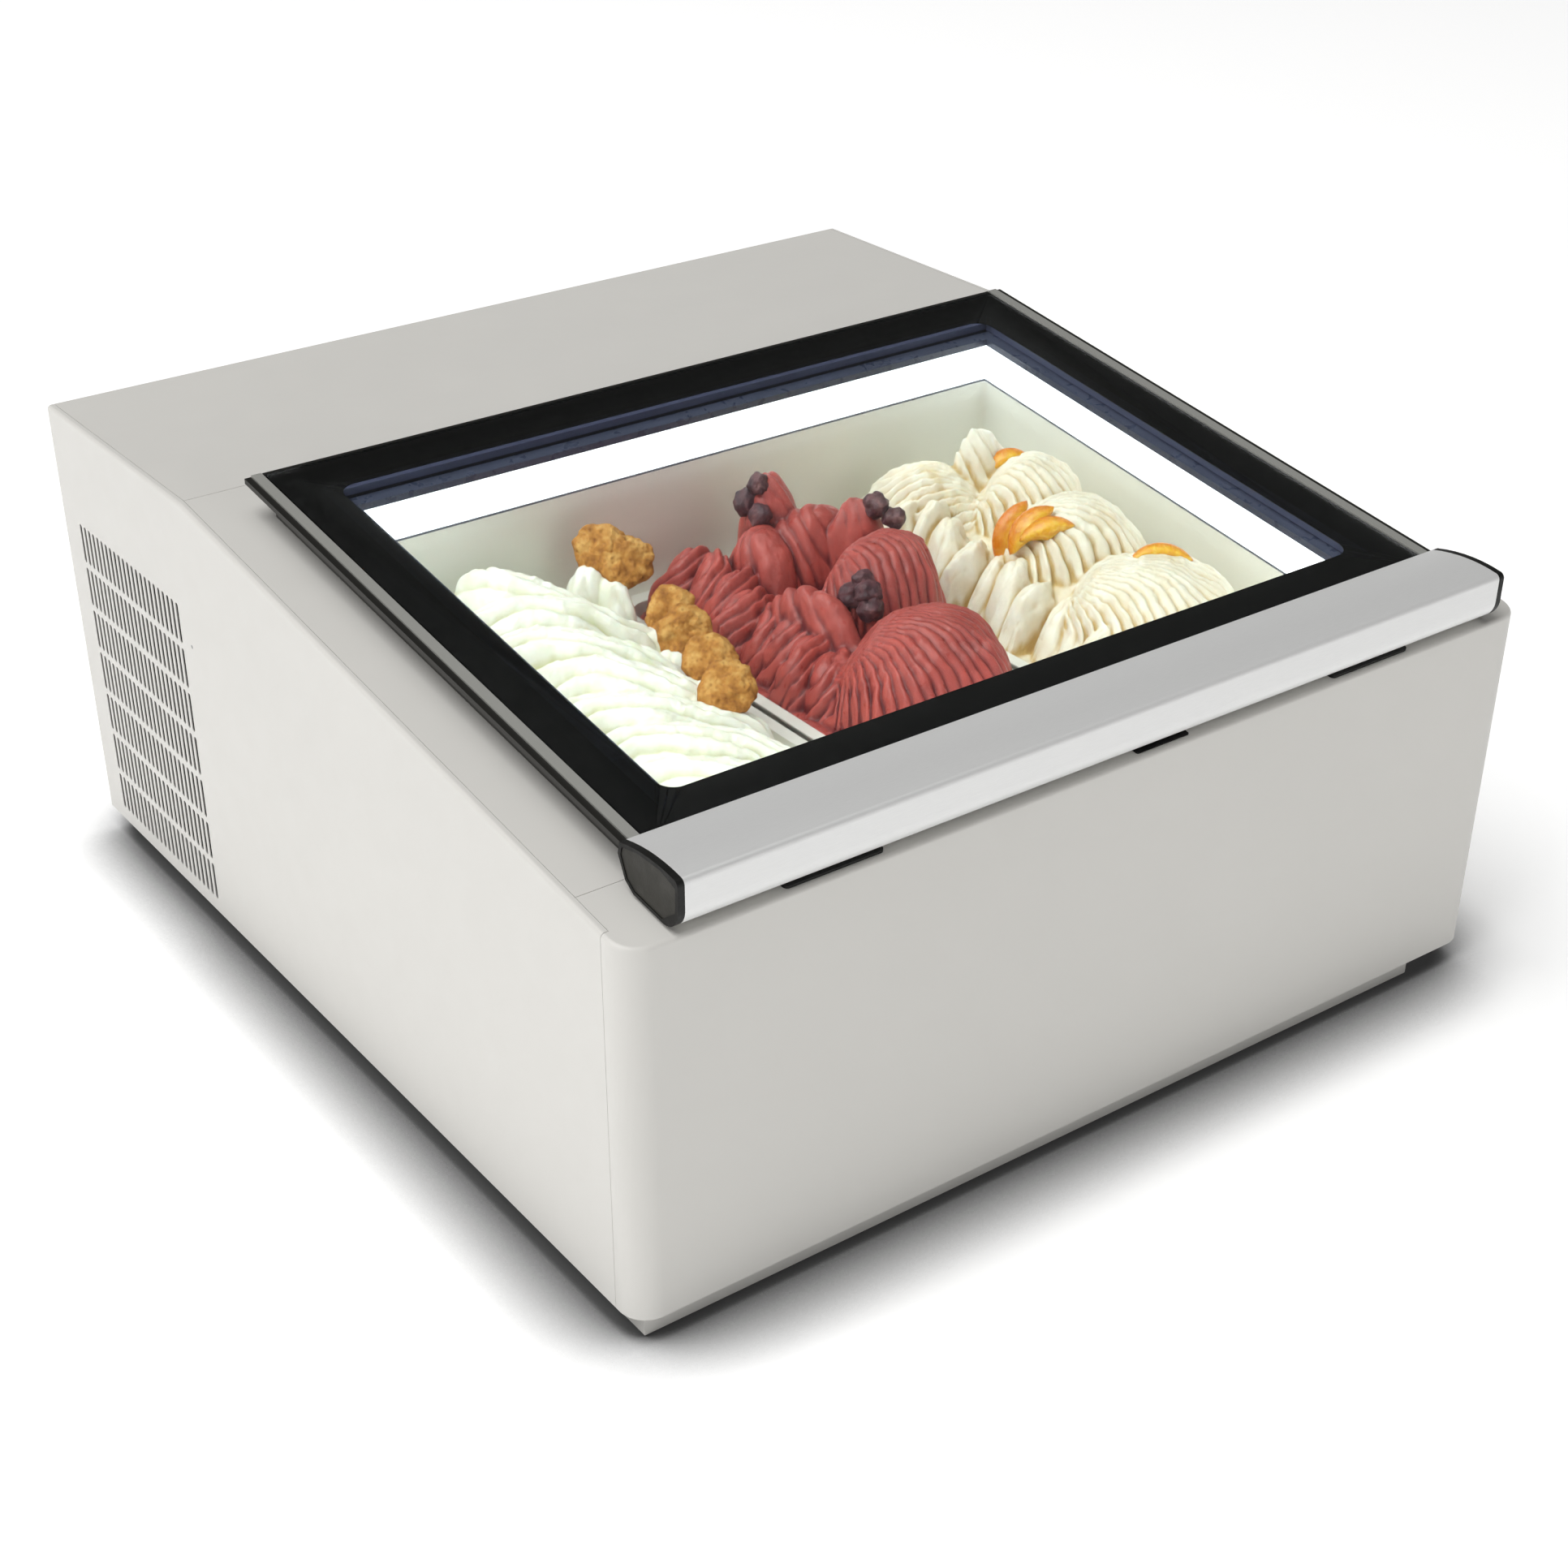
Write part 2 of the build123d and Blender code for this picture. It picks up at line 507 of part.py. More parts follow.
for pan_name, pan_index in (("left", -1), ("middle", 0), ("right", 1)):
    with BuildPart() as pan:
        add(pan_body(pan_index * PAN_PITCH))
    pan.part.label = f"pan_{pan_name}"
    export_step(pan.part, f"parts/pan_{pan_name}.step")

with BuildPart() as gelato_left:
    add(gelato_body(-PAN_PITCH, cookie_spots, COOKIE_R, COOKIE_T))
gelato_left.part.label = "gelato_left"
export_step(gelato_left.part, "parts/gelato_left.step")

with BuildPart() as gelato_middle:
    add(gelato_body(0, berry_spots, BERRY_R, 0))
gelato_middle.part.label = "gelato_middle"
export_step(gelato_middle.part, "parts/gelato_middle.step")

with BuildPart() as gelato_right:
    add(gelato_body(PAN_PITCH, peel_spots, PEEL_R, PEEL_T))
gelato_right.part.label = "gelato_right"
export_step(gelato_right.part, "parts/gelato_right.step")

with BuildPart() as cookies:
    with Locations(*cookie_spots):
        Cylinder(COOKIE_R, COOKIE_T)
cookies.part.label = "cookies"
export_step(cookies.part, "parts/cookies.step")

with BuildPart() as fruit_pieces:
    with Locations(*berry_spots):
        Sphere(BERRY_R)
    with Locations(*peel_spots):
        Cylinder(PEEL_R, PEEL_T)
fruit_pieces.part.label = "fruit_pieces"
export_step(fruit_pieces.part, "parts/fruit_pieces.step")

# ================================================================ machine compartment
PARTITION_TOP_Z = 339
PIPE_HOLE_R = 5
with BuildPart() as partition_wall:
    partition_y = (PARTITION_Y, PARTITION_Y + PARTITION_T)
    add(zone((-INNER_HALF_W, INNER_HALF_W), partition_y, (FLOOR_Z, PARTITION_TOP_Z)))
    with BuildSketch(Plane.XZ.offset(-PARTITION_Y)):
        with Locations((SUCTION_X, SUCTION_Z), (LIQUID_X, LIQUID_Z)):
            Circle(PIPE_HOLE_R)
    extrude(amount=-PARTITION_T, mode=Mode.SUBTRACT)
partition_wall.part.label = "partition_wall"
export_step(partition_wall.part, "parts/partition_wall.step")


COMPRESSOR_X, COMPRESSOR_Y = 150, PARTITION_Y + 117
COMPRESSOR_R = 62
MOUNT_H = 13
MOUNT_R = 9
MOUNT_PITCH_X, MOUNT_PITCH_Y = 144, 84
SOLE_W, SOLE_L, SOLE_T = 172, 112, 3
CAN_Z = FLOOR_Z + MOUNT_H + 1
CAN_H, CAN_SEAM_H = 140, 68
with BuildPart() as compressor:
    with BuildSketch(Plane(origin=(COMPRESSOR_X, COMPRESSOR_Y, CAN_Z), x_dir=(1, 0, 0), z_dir=(0, -1, 0))):
        with BuildLine():
            Line((0, 0), (42, 0))
            ThreePointArc((42, 0), (56, 7), (COMPRESSOR_R, 22))
            Polyline(
                (COMPRESSOR_R, 22),
                (COMPRESSOR_R, CAN_SEAM_H),
                (COMPRESSOR_R + 3, CAN_SEAM_H),
                (COMPRESSOR_R + 3, CAN_SEAM_H + 5),
                (COMPRESSOR_R, CAN_SEAM_H + 5),
                (COMPRESSOR_R, 104),
            )
            Spline((COMPRESSOR_R, 104), (0, CAN_H), tangents=((0, 1), (-1, 0)))
            Line((0, CAN_H), (0, 0))
        make_face()
    revolve(axis=Axis((COMPRESSOR_X, COMPRESSOR_Y, 0), (0, 0, 1)))
    with BuildSketch(Plane.XY.offset(FLOOR_Z + MOUNT_H)):
        with Locations((COMPRESSOR_X, COMPRESSOR_Y)):
            RectangleRounded(SOLE_W, SOLE_L, 12)
    extrude(amount=SOLE_T)
compressor.part.label = "compressor"
export_step(compressor.part, "parts/compressor.step")

with BuildPart() as compressor_terminal_cover:
    cover_x = (COMPRESSOR_X + 40, COMPRESSOR_X + COMPRESSOR_R + 26)
    add(zone(cover_x, (COMPRESSOR_Y - 22, COMPRESSOR_Y + 22), (58, 96)))
    with Locations((COMPRESSOR_X, COMPRESSOR_Y, 100)):
        Cylinder(COMPRESSOR_R, 200, mode=Mode.SUBTRACT)
    fillet(compressor_terminal_cover.edges().filter_by(Axis.Z).group_by(Axis.X)[-1], 6)
compressor_terminal_cover.part.label = "compressor_terminal_cover"
export_step(compressor_terminal_cover.part, "parts/compressor_terminal_cover.step")

with BuildPart() as compressor_mounts:
    with BuildSketch(Plane.XY.offset(FLOOR_Z)):
        with Locations((COMPRESSOR_X, COMPRESSOR_Y)):
            with GridLocations(MOUNT_PITCH_X, MOUNT_PITCH_Y, 2, 2):
                Circle(MOUNT_R)
    extrude(amount=MOUNT_H)
compressor_mounts.part.label = "compressor_mounts"
export_step(compressor_mounts.part, "parts/compressor_mounts.step")

CONDENSER_COLUMNS = (-325, -305)
CONDENSER_Y = (PARTITION_Y + 27, PARTITION_Y + 197)
CONDENSER_Z = (40, 255)
TUBE_R = 4
TUBE_ROWS, TUBE_PITCH, TUBE_LOW_Z = 8, 25, 55
FIN_COUNT, FIN_T = 28, 0.8
END_PLATE_T = 2
FIN_HALF_W = 20
CONDENSER_X = sum(CONDENSER_COLUMNS) / 2
BEND_OUT = 12
tube_rows = [TUBE_LOW_Z + i * TUBE_PITCH for i in range(TUBE_ROWS)]
tube_spots = [(x, z) for x in CONDENSER_COLUMNS for z in tube_rows]

with BuildPart() as condenser_fins:
    fin_step = (CONDENSER_Y[1] - CONDENSER_Y[0] - 2 * END_PLATE_T) / (FIN_COUNT + 1)
    for i in range(FIN_COUNT):
        fin_y = CONDENSER_Y[0] + END_PLATE_T + (i + 1) * fin_step
        fin_range = (fin_y - FIN_T / 2, fin_y + FIN_T / 2)
        add(zone((CONDENSER_X - FIN_HALF_W, CONDENSER_X + FIN_HALF_W), fin_range, CONDENSER_Z))
    for plate_y in (CONDENSER_Y[0], CONDENSER_Y[1] - END_PLATE_T):
        plate_x = (CONDENSER_X - FIN_HALF_W, CONDENSER_X + FIN_HALF_W)
        add(zone(plate_x, (plate_y, plate_y + END_PLATE_T), (FLOOR_Z, CONDENSER_Z[1] + 5)))
    with BuildSketch(Plane.XZ.offset(-CONDENSER_Y[0] + 1)):
        with Locations(*tube_spots):
            Circle(TUBE_R)
    extrude(amount=-(CONDENSER_Y[1] - CONDENSER_Y[0] + 2), mode=Mode.SUBTRACT)
condenser_fins.part.label = "condenser_fins"
export_step(condenser_fins.part, "parts/condenser_fins.step")


def condenser_route():
    """Corner points of the serpentine: up one column at the rear, across, and down the other."""
    near, far = CONDENSER_Y[0] - BEND_OUT / 2, CONDENSER_Y[1] + BEND_OUT / 2
    points = []
    spots = [(CONDENSER_COLUMNS[1], z) for z in tube_rows[::-1]]
    spots += [(CONDENSER_COLUMNS[0], z) for z in tube_rows]
    for i, (x, z) in enumerate(spots):
        ends = (near, far) if i % 2 == 0 else (far, near)
        points += [(x, ends[0], z), (x, ends[1], z)]
    return points


with BuildPart() as condenser_tubes:
    add(pipe(condenser_route(), TUBE_R, 5))
condenser_tubes.part.label = "condenser_tubes"
export_step(condenser_tubes.part, "parts/condenser_tubes.step")

FAN_Y, FAN_Z = PARTITION_Y + 112, 146
FAN_OPENING_R = 74
BLADE_TIP_R = 70
HUB_R = 18
HUB_X = (-270, -252)
SHAFT_R = 2.5
SHAFT_CLEARANCE = 0.05
SHAFT_END_X = -232
SHROUD_X = -288
SHROUD_T = 1.5
SHROUD_Y = (FAN_Y - 90, FAN_Y + 90)
SHROUD_FOOT_W, SHROUD_FOOT_Z, SHROUD_TOP_Z = 12, 30, 262
COLLAR_END_X = -262
MOTOR_X = (-243, -200)
MOTOR_R = 30
BRACKET_X = (-200, -197)
SPIDER_R = 84
fan_plane = Plane(origin=(0, FAN_Y, FAN_Z), x_dir=(0, 1, 0), z_dir=(1, 0, 0))

with BuildPart() as fan_shroud:
    add(zone((SHROUD_X, SHROUD_X + SHROUD_T), SHROUD_Y, (SHROUD_FOOT_Z, SHROUD_TOP_Z)))
    add(zone((SHROUD_X, SHROUD_X + SHROUD_FOOT_W), SHROUD_Y, (FLOOR_Z, SHROUD_FOOT_Z)))
    with BuildSketch(fan_plane.offset(SHROUD_X)):
        Circle(FAN_OPENING_R + SHROUD_T)
    extrude(amount=COLLAR_END_X - SHROUD_X)
    with BuildSketch(fan_plane.offset(SHROUD_X)):
        Circle(FAN_OPENING_R)
    extrude(amount=COLLAR_END_X - SHROUD_X, mode=Mode.SUBTRACT)
    with BuildSketch(fan_plane.offset(SHROUD_X)):
        with PolarLocations(SPIDER_R, 3, 90):
            Rectangle(4, 12)
    extrude(amount=BRACKET_X[1] - SHROUD_X)
    with BuildSketch(fan_plane.offset(BRACKET_X[0])):
        Circle(MOTOR_R + 2)
        with PolarLocations(SPIDER_R / 2, 3, 90):
            Rectangle(SPIDER_R, 12)
    extrude(amount=BRACKET_X[1] - BRACKET_X[0])
fan_shroud.part.label = "fan_shroud"
export_step(fan_shroud.part, "parts/fan_shroud.step")

with BuildPart() as fan_motor:
    with BuildSketch(fan_plane.offset(MOTOR_X[0])):
        Circle(MOTOR_R)
    extrude(amount=MOTOR_X[1] - MOTOR_X[0])
    chamfer(fan_motor.edges().group_by(Axis.X)[0], 3)
    with BuildSketch(fan_plane.offset(MOTOR_X[0])):
        Circle(SHAFT_R + SHAFT_CLEARANCE)
    extrude(amount=SHAFT_END_X + 0.5 - MOTOR_X[0], mode=Mode.SUBTRACT)
fan_motor.part.label = "fan_motor"
export_step(fan_motor.part, "parts/fan_motor.step")

BLADE_COUNT, BLADE_T, BLADE_TILT = 5, 1.6, 28
BLADE_CHORD = 34
BLADE_X = (HUB_X[0] + HUB_X[1]) / 2
with BuildPart() as fan_blade:
    with BuildSketch(fan_plane.offset(HUB_X[0])):
        Circle(HUB_R)
    extrude(amount=HUB_X[1] - HUB_X[0])
    fillet(fan_blade.edges().group_by(Axis.X)[0], 4)
    with BuildSketch(fan_plane.offset(HUB_X[1])):
        Circle(SHAFT_R)
    extrude(amount=SHAFT_END_X - HUB_X[1])
    blade_axis = Location((BLADE_X, FAN_Y, FAN_Z))
    for i in range(BLADE_COUNT):
        turn = Rotation(360 / BLADE_COUNT * i, 0, 0)
        blade_plane = Plane(blade_axis * turn * Pos(0, 0, HUB_R - 3) * Rotation(0, 0, BLADE_TILT))
        with BuildSketch(blade_plane):
            Rectangle(BLADE_T, 0.6 * BLADE_CHORD)
        with BuildSketch(blade_plane.offset(BLADE_TIP_R - HUB_R)):
            Rectangle(BLADE_T, BLADE_CHORD)
        loft()
    with BuildSketch(fan_plane.offset(SHROUD_X)):
        Circle(2 * BLADE_TIP_R)
        Circle(BLADE_TIP_R, mode=Mode.SUBTRACT)
    extrude(amount=HUB_X[1] - SHROUD_X, mode=Mode.SUBTRACT)
fan_blade.part.label = "fan_blade"
export_step(fan_blade.part, "parts/fan_blade.step")

PIPE_Y = PARTITION_Y + 14
DISCHARGE_R, LIQUID_R, CAPILLARY_R, SUCTION_R = 3, 3, 1.5, 4
DRIER_Z = (100, 190)
DRIER_R = 9.5
with BuildPart() as filter_drier:
    with BuildSketch(Plane(origin=(LIQUID_X, PIPE_Y, DRIER_Z[0]), x_dir=(1, 0, 0), z_dir=(0, -1, 0))):
        with BuildLine():
            drier_l = DRIER_Z[1] - DRIER_Z[0]
            Polyline(
                (0, 0),
                (4, 0),
                (4, 6),
                (DRIER_R, 14),
                (DRIER_R, drier_l - 14),
                (3, drier_l - 6),
                (3, drier_l),
                (0, drier_l),
                close=True,
            )
        make_face()
    revolve(axis=Axis((LIQUID_X, PIPE_Y, 0), (0, 0, 1)))
filter_drier.part.label = "filter_drier"
export_step(filter_drier.part, "parts/filter_drier.step")

condenser_inlet = (CONDENSER_COLUMNS[1], CONDENSER_Y[0] - BEND_OUT / 2, tube_rows[-1])
condenser_outlet = (CONDENSER_COLUMNS[0], CONDENSER_Y[0] - BEND_OUT / 2, tube_rows[-1])
HEADER_Z = 285
with BuildPart() as discharge_pipe:
    stub_y = COMPRESSOR_Y - COMPRESSOR_R + 1
    add(
        pipe(
            (
                (COMPRESSOR_X, stub_y, 85),
                (COMPRESSOR_X, PIPE_Y, 85),
                (COMPRESSOR_X, PIPE_Y, HEADER_Z),
                (condenser_inlet[0], PIPE_Y, HEADER_Z),
                (condenser_inlet[0], PIPE_Y, condenser_inlet[2]),
                condenser_inlet,
            ),
            DISCHARGE_R,
            6,
        )
    )
    add(compressor.part, mode=Mode.SUBTRACT)
discharge_pipe.part.label = "discharge_pipe"
export_step(discharge_pipe.part, "parts/discharge_pipe.step")

LIQUID_DROP_Z = 45
with BuildPart() as liquid_pipe:
    add(
        pipe(
            (
                condenser_outlet,
                (condenser_outlet[0], PIPE_Y, condenser_outlet[2]),
                (condenser_outlet[0], PIPE_Y, LIQUID_DROP_Z),
                (LIQUID_X, PIPE_Y, LIQUID_DROP_Z),
                (LIQUID_X, PIPE_Y, DRIER_Z[0]),
            ),
            LIQUID_R,
            6,
        )
    )
    add(
        pipe(
            (
                (LIQUID_X, PIPE_Y, DRIER_Z[1]),
                (LIQUID_X, PIPE_Y, LIQUID_Z),
                (LIQUID_X, PARTITION_Y, LIQUID_Z),
            ),
            CAPILLARY_R,
            6,
        )
    )
liquid_pipe.part.label = "liquid_pipe"
export_step(liquid_pipe.part, "parts/liquid_pipe.step")

SUCTION_RUN_Y = PARTITION_Y + 29
SUCTION_STUB_X, SUCTION_STUB_Z = COMPRESSOR_X + 38, 120
with BuildPart() as suction_pipe:
    add(
        pipe(
            (
                (SUCTION_X, PARTITION_Y, SUCTION_Z),
                (SUCTION_X, SUCTION_RUN_Y, SUCTION_Z),
                (SUCTION_STUB_X, SUCTION_RUN_Y, SUCTION_Z),
                (SUCTION_STUB_X, SUCTION_RUN_Y, SUCTION_STUB_Z),
                (SUCTION_STUB_X, COMPRESSOR_Y - 46, SUCTION_STUB_Z),
            ),
            SUCTION_R,
            10,
        )
    )
    add(compressor.part, mode=Mode.SUBTRACT)
suction_pipe.part.label = "suction_pipe"
export_step(suction_pipe.part, "parts/suction_pipe.step")

# ================================================================ controls on the rear panel
BEZEL_W, BEZEL_H, BEZEL_T = 80, 36, 2.5
HOUSING_DEPTH = 46
BUTTON_W, BUTTON_H, BUTTON_R = 9, 8, 2
BUTTON_GAP = 0.3
BUTTON_PITCH_X, BUTTON_PITCH_Z = 13, 12
BUTTON_X = CONTROL_X - 20
BUTTON_POCKET = 6.5
BUTTON_PROUD = 1.3
BUTTON_L = 5
BEZEL_FACE_Y = REAR_FACE_Y + BEZEL_T
DISPLAY_W, DISPLAY_H, DISPLAY_T = 36, 18, 1
DISPLAY_X = CONTROL_X + 15
with BuildPart() as controller_housing:
    with BuildSketch(Plane.XZ.offset(-REAR_FACE_Y)):
        with Locations((CONTROL_X, CONTROL_Z)):
            RectangleRounded(BEZEL_W, BEZEL_H, 3)
    extrude(amount=-BEZEL_T)
    body_x = (CONTROL_X - CONTROL_CUT_W / 2, CONTROL_X + CONTROL_CUT_W / 2)
    body_z = (CONTROL_Z - CONTROL_CUT_H / 2, CONTROL_Z + CONTROL_CUT_H / 2)
    add(zone(body_x, (REAR_FACE_Y - HOUSING_DEPTH, REAR_FACE_Y), body_z))
    with BuildSketch(Plane.XZ.offset(-BEZEL_FACE_Y)):
        with Locations((BUTTON_X, CONTROL_Z)):
            with GridLocations(BUTTON_PITCH_X, BUTTON_PITCH_Z, 2, 2):
                RectangleRounded(BUTTON_W + 2 * BUTTON_GAP, BUTTON_H + 2 * BUTTON_GAP, BUTTON_R)
    extrude(amount=BUTTON_POCKET, mode=Mode.SUBTRACT)
    with BuildSketch(Plane.XZ.offset(-BEZEL_FACE_Y)):
        with Locations((DISPLAY_X, CONTROL_Z)):
            RectangleRounded(DISPLAY_W, DISPLAY_H, 2)
    extrude(amount=DISPLAY_T, mode=Mode.SUBTRACT)
controller_housing.part.label = "controller_housing"
export_step(controller_housing.part, "parts/controller_housing.step")

with BuildPart() as controller_display:
    with BuildSketch(Plane.XZ.offset(-BEZEL_FACE_Y + DISPLAY_T)):
        with Locations((DISPLAY_X, CONTROL_Z)):
            RectangleRounded(DISPLAY_W, DISPLAY_H, 2)
    extrude(amount=-DISPLAY_T)
controller_display.part.label = "controller_display"
export_step(controller_display.part, "parts/controller_display.step")

button_places = (("up", 1, 1), ("down", 1, -1), ("set", -1, 1), ("defrost", -1, -1))
for button_name, column, row in button_places:
    with BuildPart() as button:
        with BuildSketch(Plane.XZ.offset(-BEZEL_FACE_Y - BUTTON_PROUD)):
            with Locations((BUTTON_X + column * BUTTON_PITCH_X / 2, CONTROL_Z + row * BUTTON_PITCH_Z / 2)):
                RectangleRounded(BUTTON_W, BUTTON_H, BUTTON_R)
        extrude(amount=BUTTON_L)
        fillet(button.edges().group_by(Axis.Y)[-1], 0.6)
    button.part.label = f"button_{button_name}"
    export_step(button.part, f"parts/button_{button_name}.step")

FLANGE_W, FLANGE_H, FLANGE_T = 58, 70, 2
INLET_DEPTH = 34
SOCKET_W, SOCKET_H, SOCKET_DEPTH = 25, 17, 16
SOCKET_Z = INLET_Z - 14
CONTACT_W, CONTACT_H, CONTACT_PITCH = 2, 4, 7
ROCKER_W, ROCKER_H = 14, 19
ROCKER_Z = INLET_Z + 17
ROCKER_Y = REAR_FACE_Y - 1.6
ROCKER_TILT = 7
ROCKER_BAY_W, ROCKER_BAY_H, ROCKER_BAY_DEPTH = 14.8, 21.6, 16
TRUNNION_R, TRUNNION_REACH = 1.5, 1.4
with BuildPart() as power_inlet:
    with BuildSketch(Plane.XZ.offset(-REAR_FACE_Y)):
        with Locations((INLET_X, INLET_Z)):
            RectangleRounded(FLANGE_W, FLANGE_H, 4)
    extrude(amount=-FLANGE_T)
    inlet_x = (INLET_X - INLET_CUT_W / 2, INLET_X + INLET_CUT_W / 2)
    inlet_z = (INLET_Z - INLET_CUT_H / 2, INLET_Z + INLET_CUT_H / 2)
    add(zone(inlet_x, (REAR_FACE_Y - INLET_DEPTH, REAR_FACE_Y), inlet_z))
    with BuildSketch(Plane.XZ.offset(-REAR_FACE_Y - FLANGE_T)):
        with Locations((INLET_X, SOCKET_Z)):
            Rectangle(SOCKET_W, SOCKET_H)
            with Locations((0, 1)):
                with GridLocations(CONTACT_PITCH, 1, 3, 1):
                    Rectangle(CONTACT_W, CONTACT_H, mode=Mode.SUBTRACT)
    extrude(amount=SOCKET_DEPTH + FLANGE_T, mode=Mode.SUBTRACT)
    with BuildSketch(Plane.XZ.offset(-REAR_FACE_Y - FLANGE_T)):
        with Locations((INLET_X, ROCKER_Z)):
            Rectangle(ROCKER_BAY_W, ROCKER_BAY_H)
    extrude(amount=ROCKER_BAY_DEPTH, mode=Mode.SUBTRACT)
    with Locations(Location((INLET_X, ROCKER_Y, ROCKER_Z), (0, 90, 0))):
        Cylinder(TRUNNION_R + SHAFT_CLEARANCE, ROCKER_W + 2 * TRUNNION_REACH + 0.8, mode=Mode.SUBTRACT)
power_inlet.part.label = "power_inlet"
export_step(power_inlet.part, "parts/power_inlet.step")

rocker_side = Location((INLET_X - ROCKER_W / 2, ROCKER_Y, ROCKER_Z), (-ROCKER_TILT, 0, 0))
rocker_plane = Plane(rocker_side * Plane.YZ.location)
with BuildPart() as switch_rocker:
    with BuildSketch(rocker_plane):
        with BuildLine():
            Polyline(
                (3.4, -ROCKER_H / 2),
                (2.4, 0),
                (3.4, ROCKER_H / 2),
                (-3, ROCKER_H / 2 - 1),
                (-6, 0),
                (-3, 1 - ROCKER_H / 2),
                close=True,
            )
        make_face()
    extrude(amount=ROCKER_W)
    with Locations(Location((INLET_X, ROCKER_Y, ROCKER_Z), (0, 90, 0))):
        Cylinder(TRUNNION_R, ROCKER_W + 2 * TRUNNION_REACH)
switch_rocker.part.label = "switch_rocker"
export_step(switch_rocker.part, "parts/switch_rocker.step")

# ================================================================ lid
GLASS_HALF_W, GLASS_T = 303, 4
GLASS_S = (44, 494)
GLASS_UNDER_H = GLASS_TOP_H - GLASS_T
BORDER_T = 0.4
RAIL_TOP_H = GLASS_UNDER_H - BORDER_T
WINDOW_R = 12
LOWER_HALF_W, LOWER_S, LOWER_H = 279, (71, 466), (12.5, 15.5)
SPACER_W = 9
SIDE_RAIL_X = (281, 305)
RAIL_S = (50, 476)
RAIL_LOW_H = 4
LIP_H = 24.2
LIP_S = (56, LID_REAR_S)
TRIM_X, TRIM_T = (304.2, 311.5), 1.2
CROSS_RAIL_W = 8
SHELF_H = 18
GASKET_X = (284, 300)
GASKET_LOW_H = 0.4
GASKET_INSET = 0.5


def slope_block(x, s, h):
    """Block between two corner values of the lid's own x, s and h."""
    with BuildPart() as block:
        with BuildSketch(slope_plane.offset(h[0])):
            with Locations(((x[0] + x[1]) / 2, (s[0] + s[1]) / 2)):
                Rectangle(x[1] - x[0], s[1] - s[0])
        extrude(amount=h[1] - h[0])
    return block.part


with BuildPart() as lid_glass:
    add(slope_block((-GLASS_HALF_W, GLASS_HALF_W), GLASS_S, (GLASS_UNDER_H, GLASS_TOP_H)))
lid_glass.part.label = "lid_glass"
export_step(lid_glass.part, "parts/lid_glass.step")

with BuildPart() as glass_border:
    add(slope_block((-GLASS_HALF_W, GLASS_HALF_W), GLASS_S, (RAIL_TOP_H, GLASS_UNDER_H)))
    with BuildSketch(slope_plane.offset(RAIL_TOP_H)):
        with Locations((0, sum(WINDOW_S) / 2)):
            RectangleRounded(2 * WINDOW_HALF_W, WINDOW_S[1] - WINDOW_S[0], WINDOW_R)
    extrude(amount=BORDER_T, mode=Mode.SUBTRACT)
glass_border.part.label = "glass_border"
export_step(glass_border.part, "parts/glass_border.step")

with BuildPart() as lower_glass:
    add(slope_block((-LOWER_HALF_W, LOWER_HALF_W), LOWER_S, LOWER_H))
lower_glass.part.label = "lower_glass"
export_step(lower_glass.part, "parts/lower_glass.step")

with BuildPart() as glazing_spacer:
    add(slope_block((-LOWER_HALF_W, LOWER_HALF_W), LOWER_S, (LOWER_H[1], RAIL_TOP_H)))
    spacer_x = LOWER_HALF_W - SPACER_W
    spacer_s = (LOWER_S[0] + SPACER_W, LOWER_S[1] - SPACER_W)
    add(slope_block((-spacer_x, spacer_x), spacer_s, (LOWER_H[1], RAIL_TOP_H)), mode=Mode.SUBTRACT)
glazing_spacer.part.label = "glazing_spacer"
export_step(glazing_spacer.part, "parts/glazing_spacer.step")

with BuildPart() as lid_side_rails:
    for side in (-1, 1):
        body_range = sorted((side * SIDE_RAIL_X[0], side * SIDE_RAIL_X[1]))
        lip_range = sorted((side * (GLASS_HALF_W + 0.5), side * LID_HALF_W))
        add(slope_block(body_range, RAIL_S, (RAIL_LOW_H, RAIL_TOP_H)))
        add(slope_block(lip_range, LIP_S, (RAIL_TOP_H, LIP_H)))
lid_side_rails.part.label = "lid_side_rails"
export_step(lid_side_rails.part, "parts/lid_side_rails.step")

with BuildPart() as lid_cross_rails:
    rail_x = (-SIDE_RAIL_X[0], SIDE_RAIL_X[0])
    add(slope_block(rail_x, (RAIL_S[0], RAIL_S[0] + CROSS_RAIL_W), (RAIL_LOW_H, RAIL_TOP_H)))
    add(slope_block(rail_x, (RAIL_S[1] - CROSS_RAIL_W, RAIL_S[1]), (RAIL_LOW_H, RAIL_TOP_H)))
    shelf_x = (-GLASS_HALF_W - 0.5, GLASS_HALF_W + 0.5)
    add(slope_block(shelf_x, (RAIL_S[1], LID_REAR_S), (SHELF_H, RAIL_TOP_H)))
    add(slope_block(shelf_x, (GLASS_S[1], LID_REAR_S), (RAIL_TOP_H, GLASS_TOP_H)))
lid_cross_rails.part.label = "lid_cross_rails"
export_step(lid_cross_rails.part, "parts/lid_cross_rails.step")

with BuildPart() as lid_trim_strips:
    for side in (-1, 1):
        trim_range = sorted((side * TRIM_X[0], side * TRIM_X[1]))
        add(slope_block(trim_range, LIP_S, (LIP_H, LIP_H + TRIM_T)))
lid_trim_strips.part.label = "lid_trim_strips"
export_step(lid_trim_strips.part, "parts/lid_trim_strips.step")

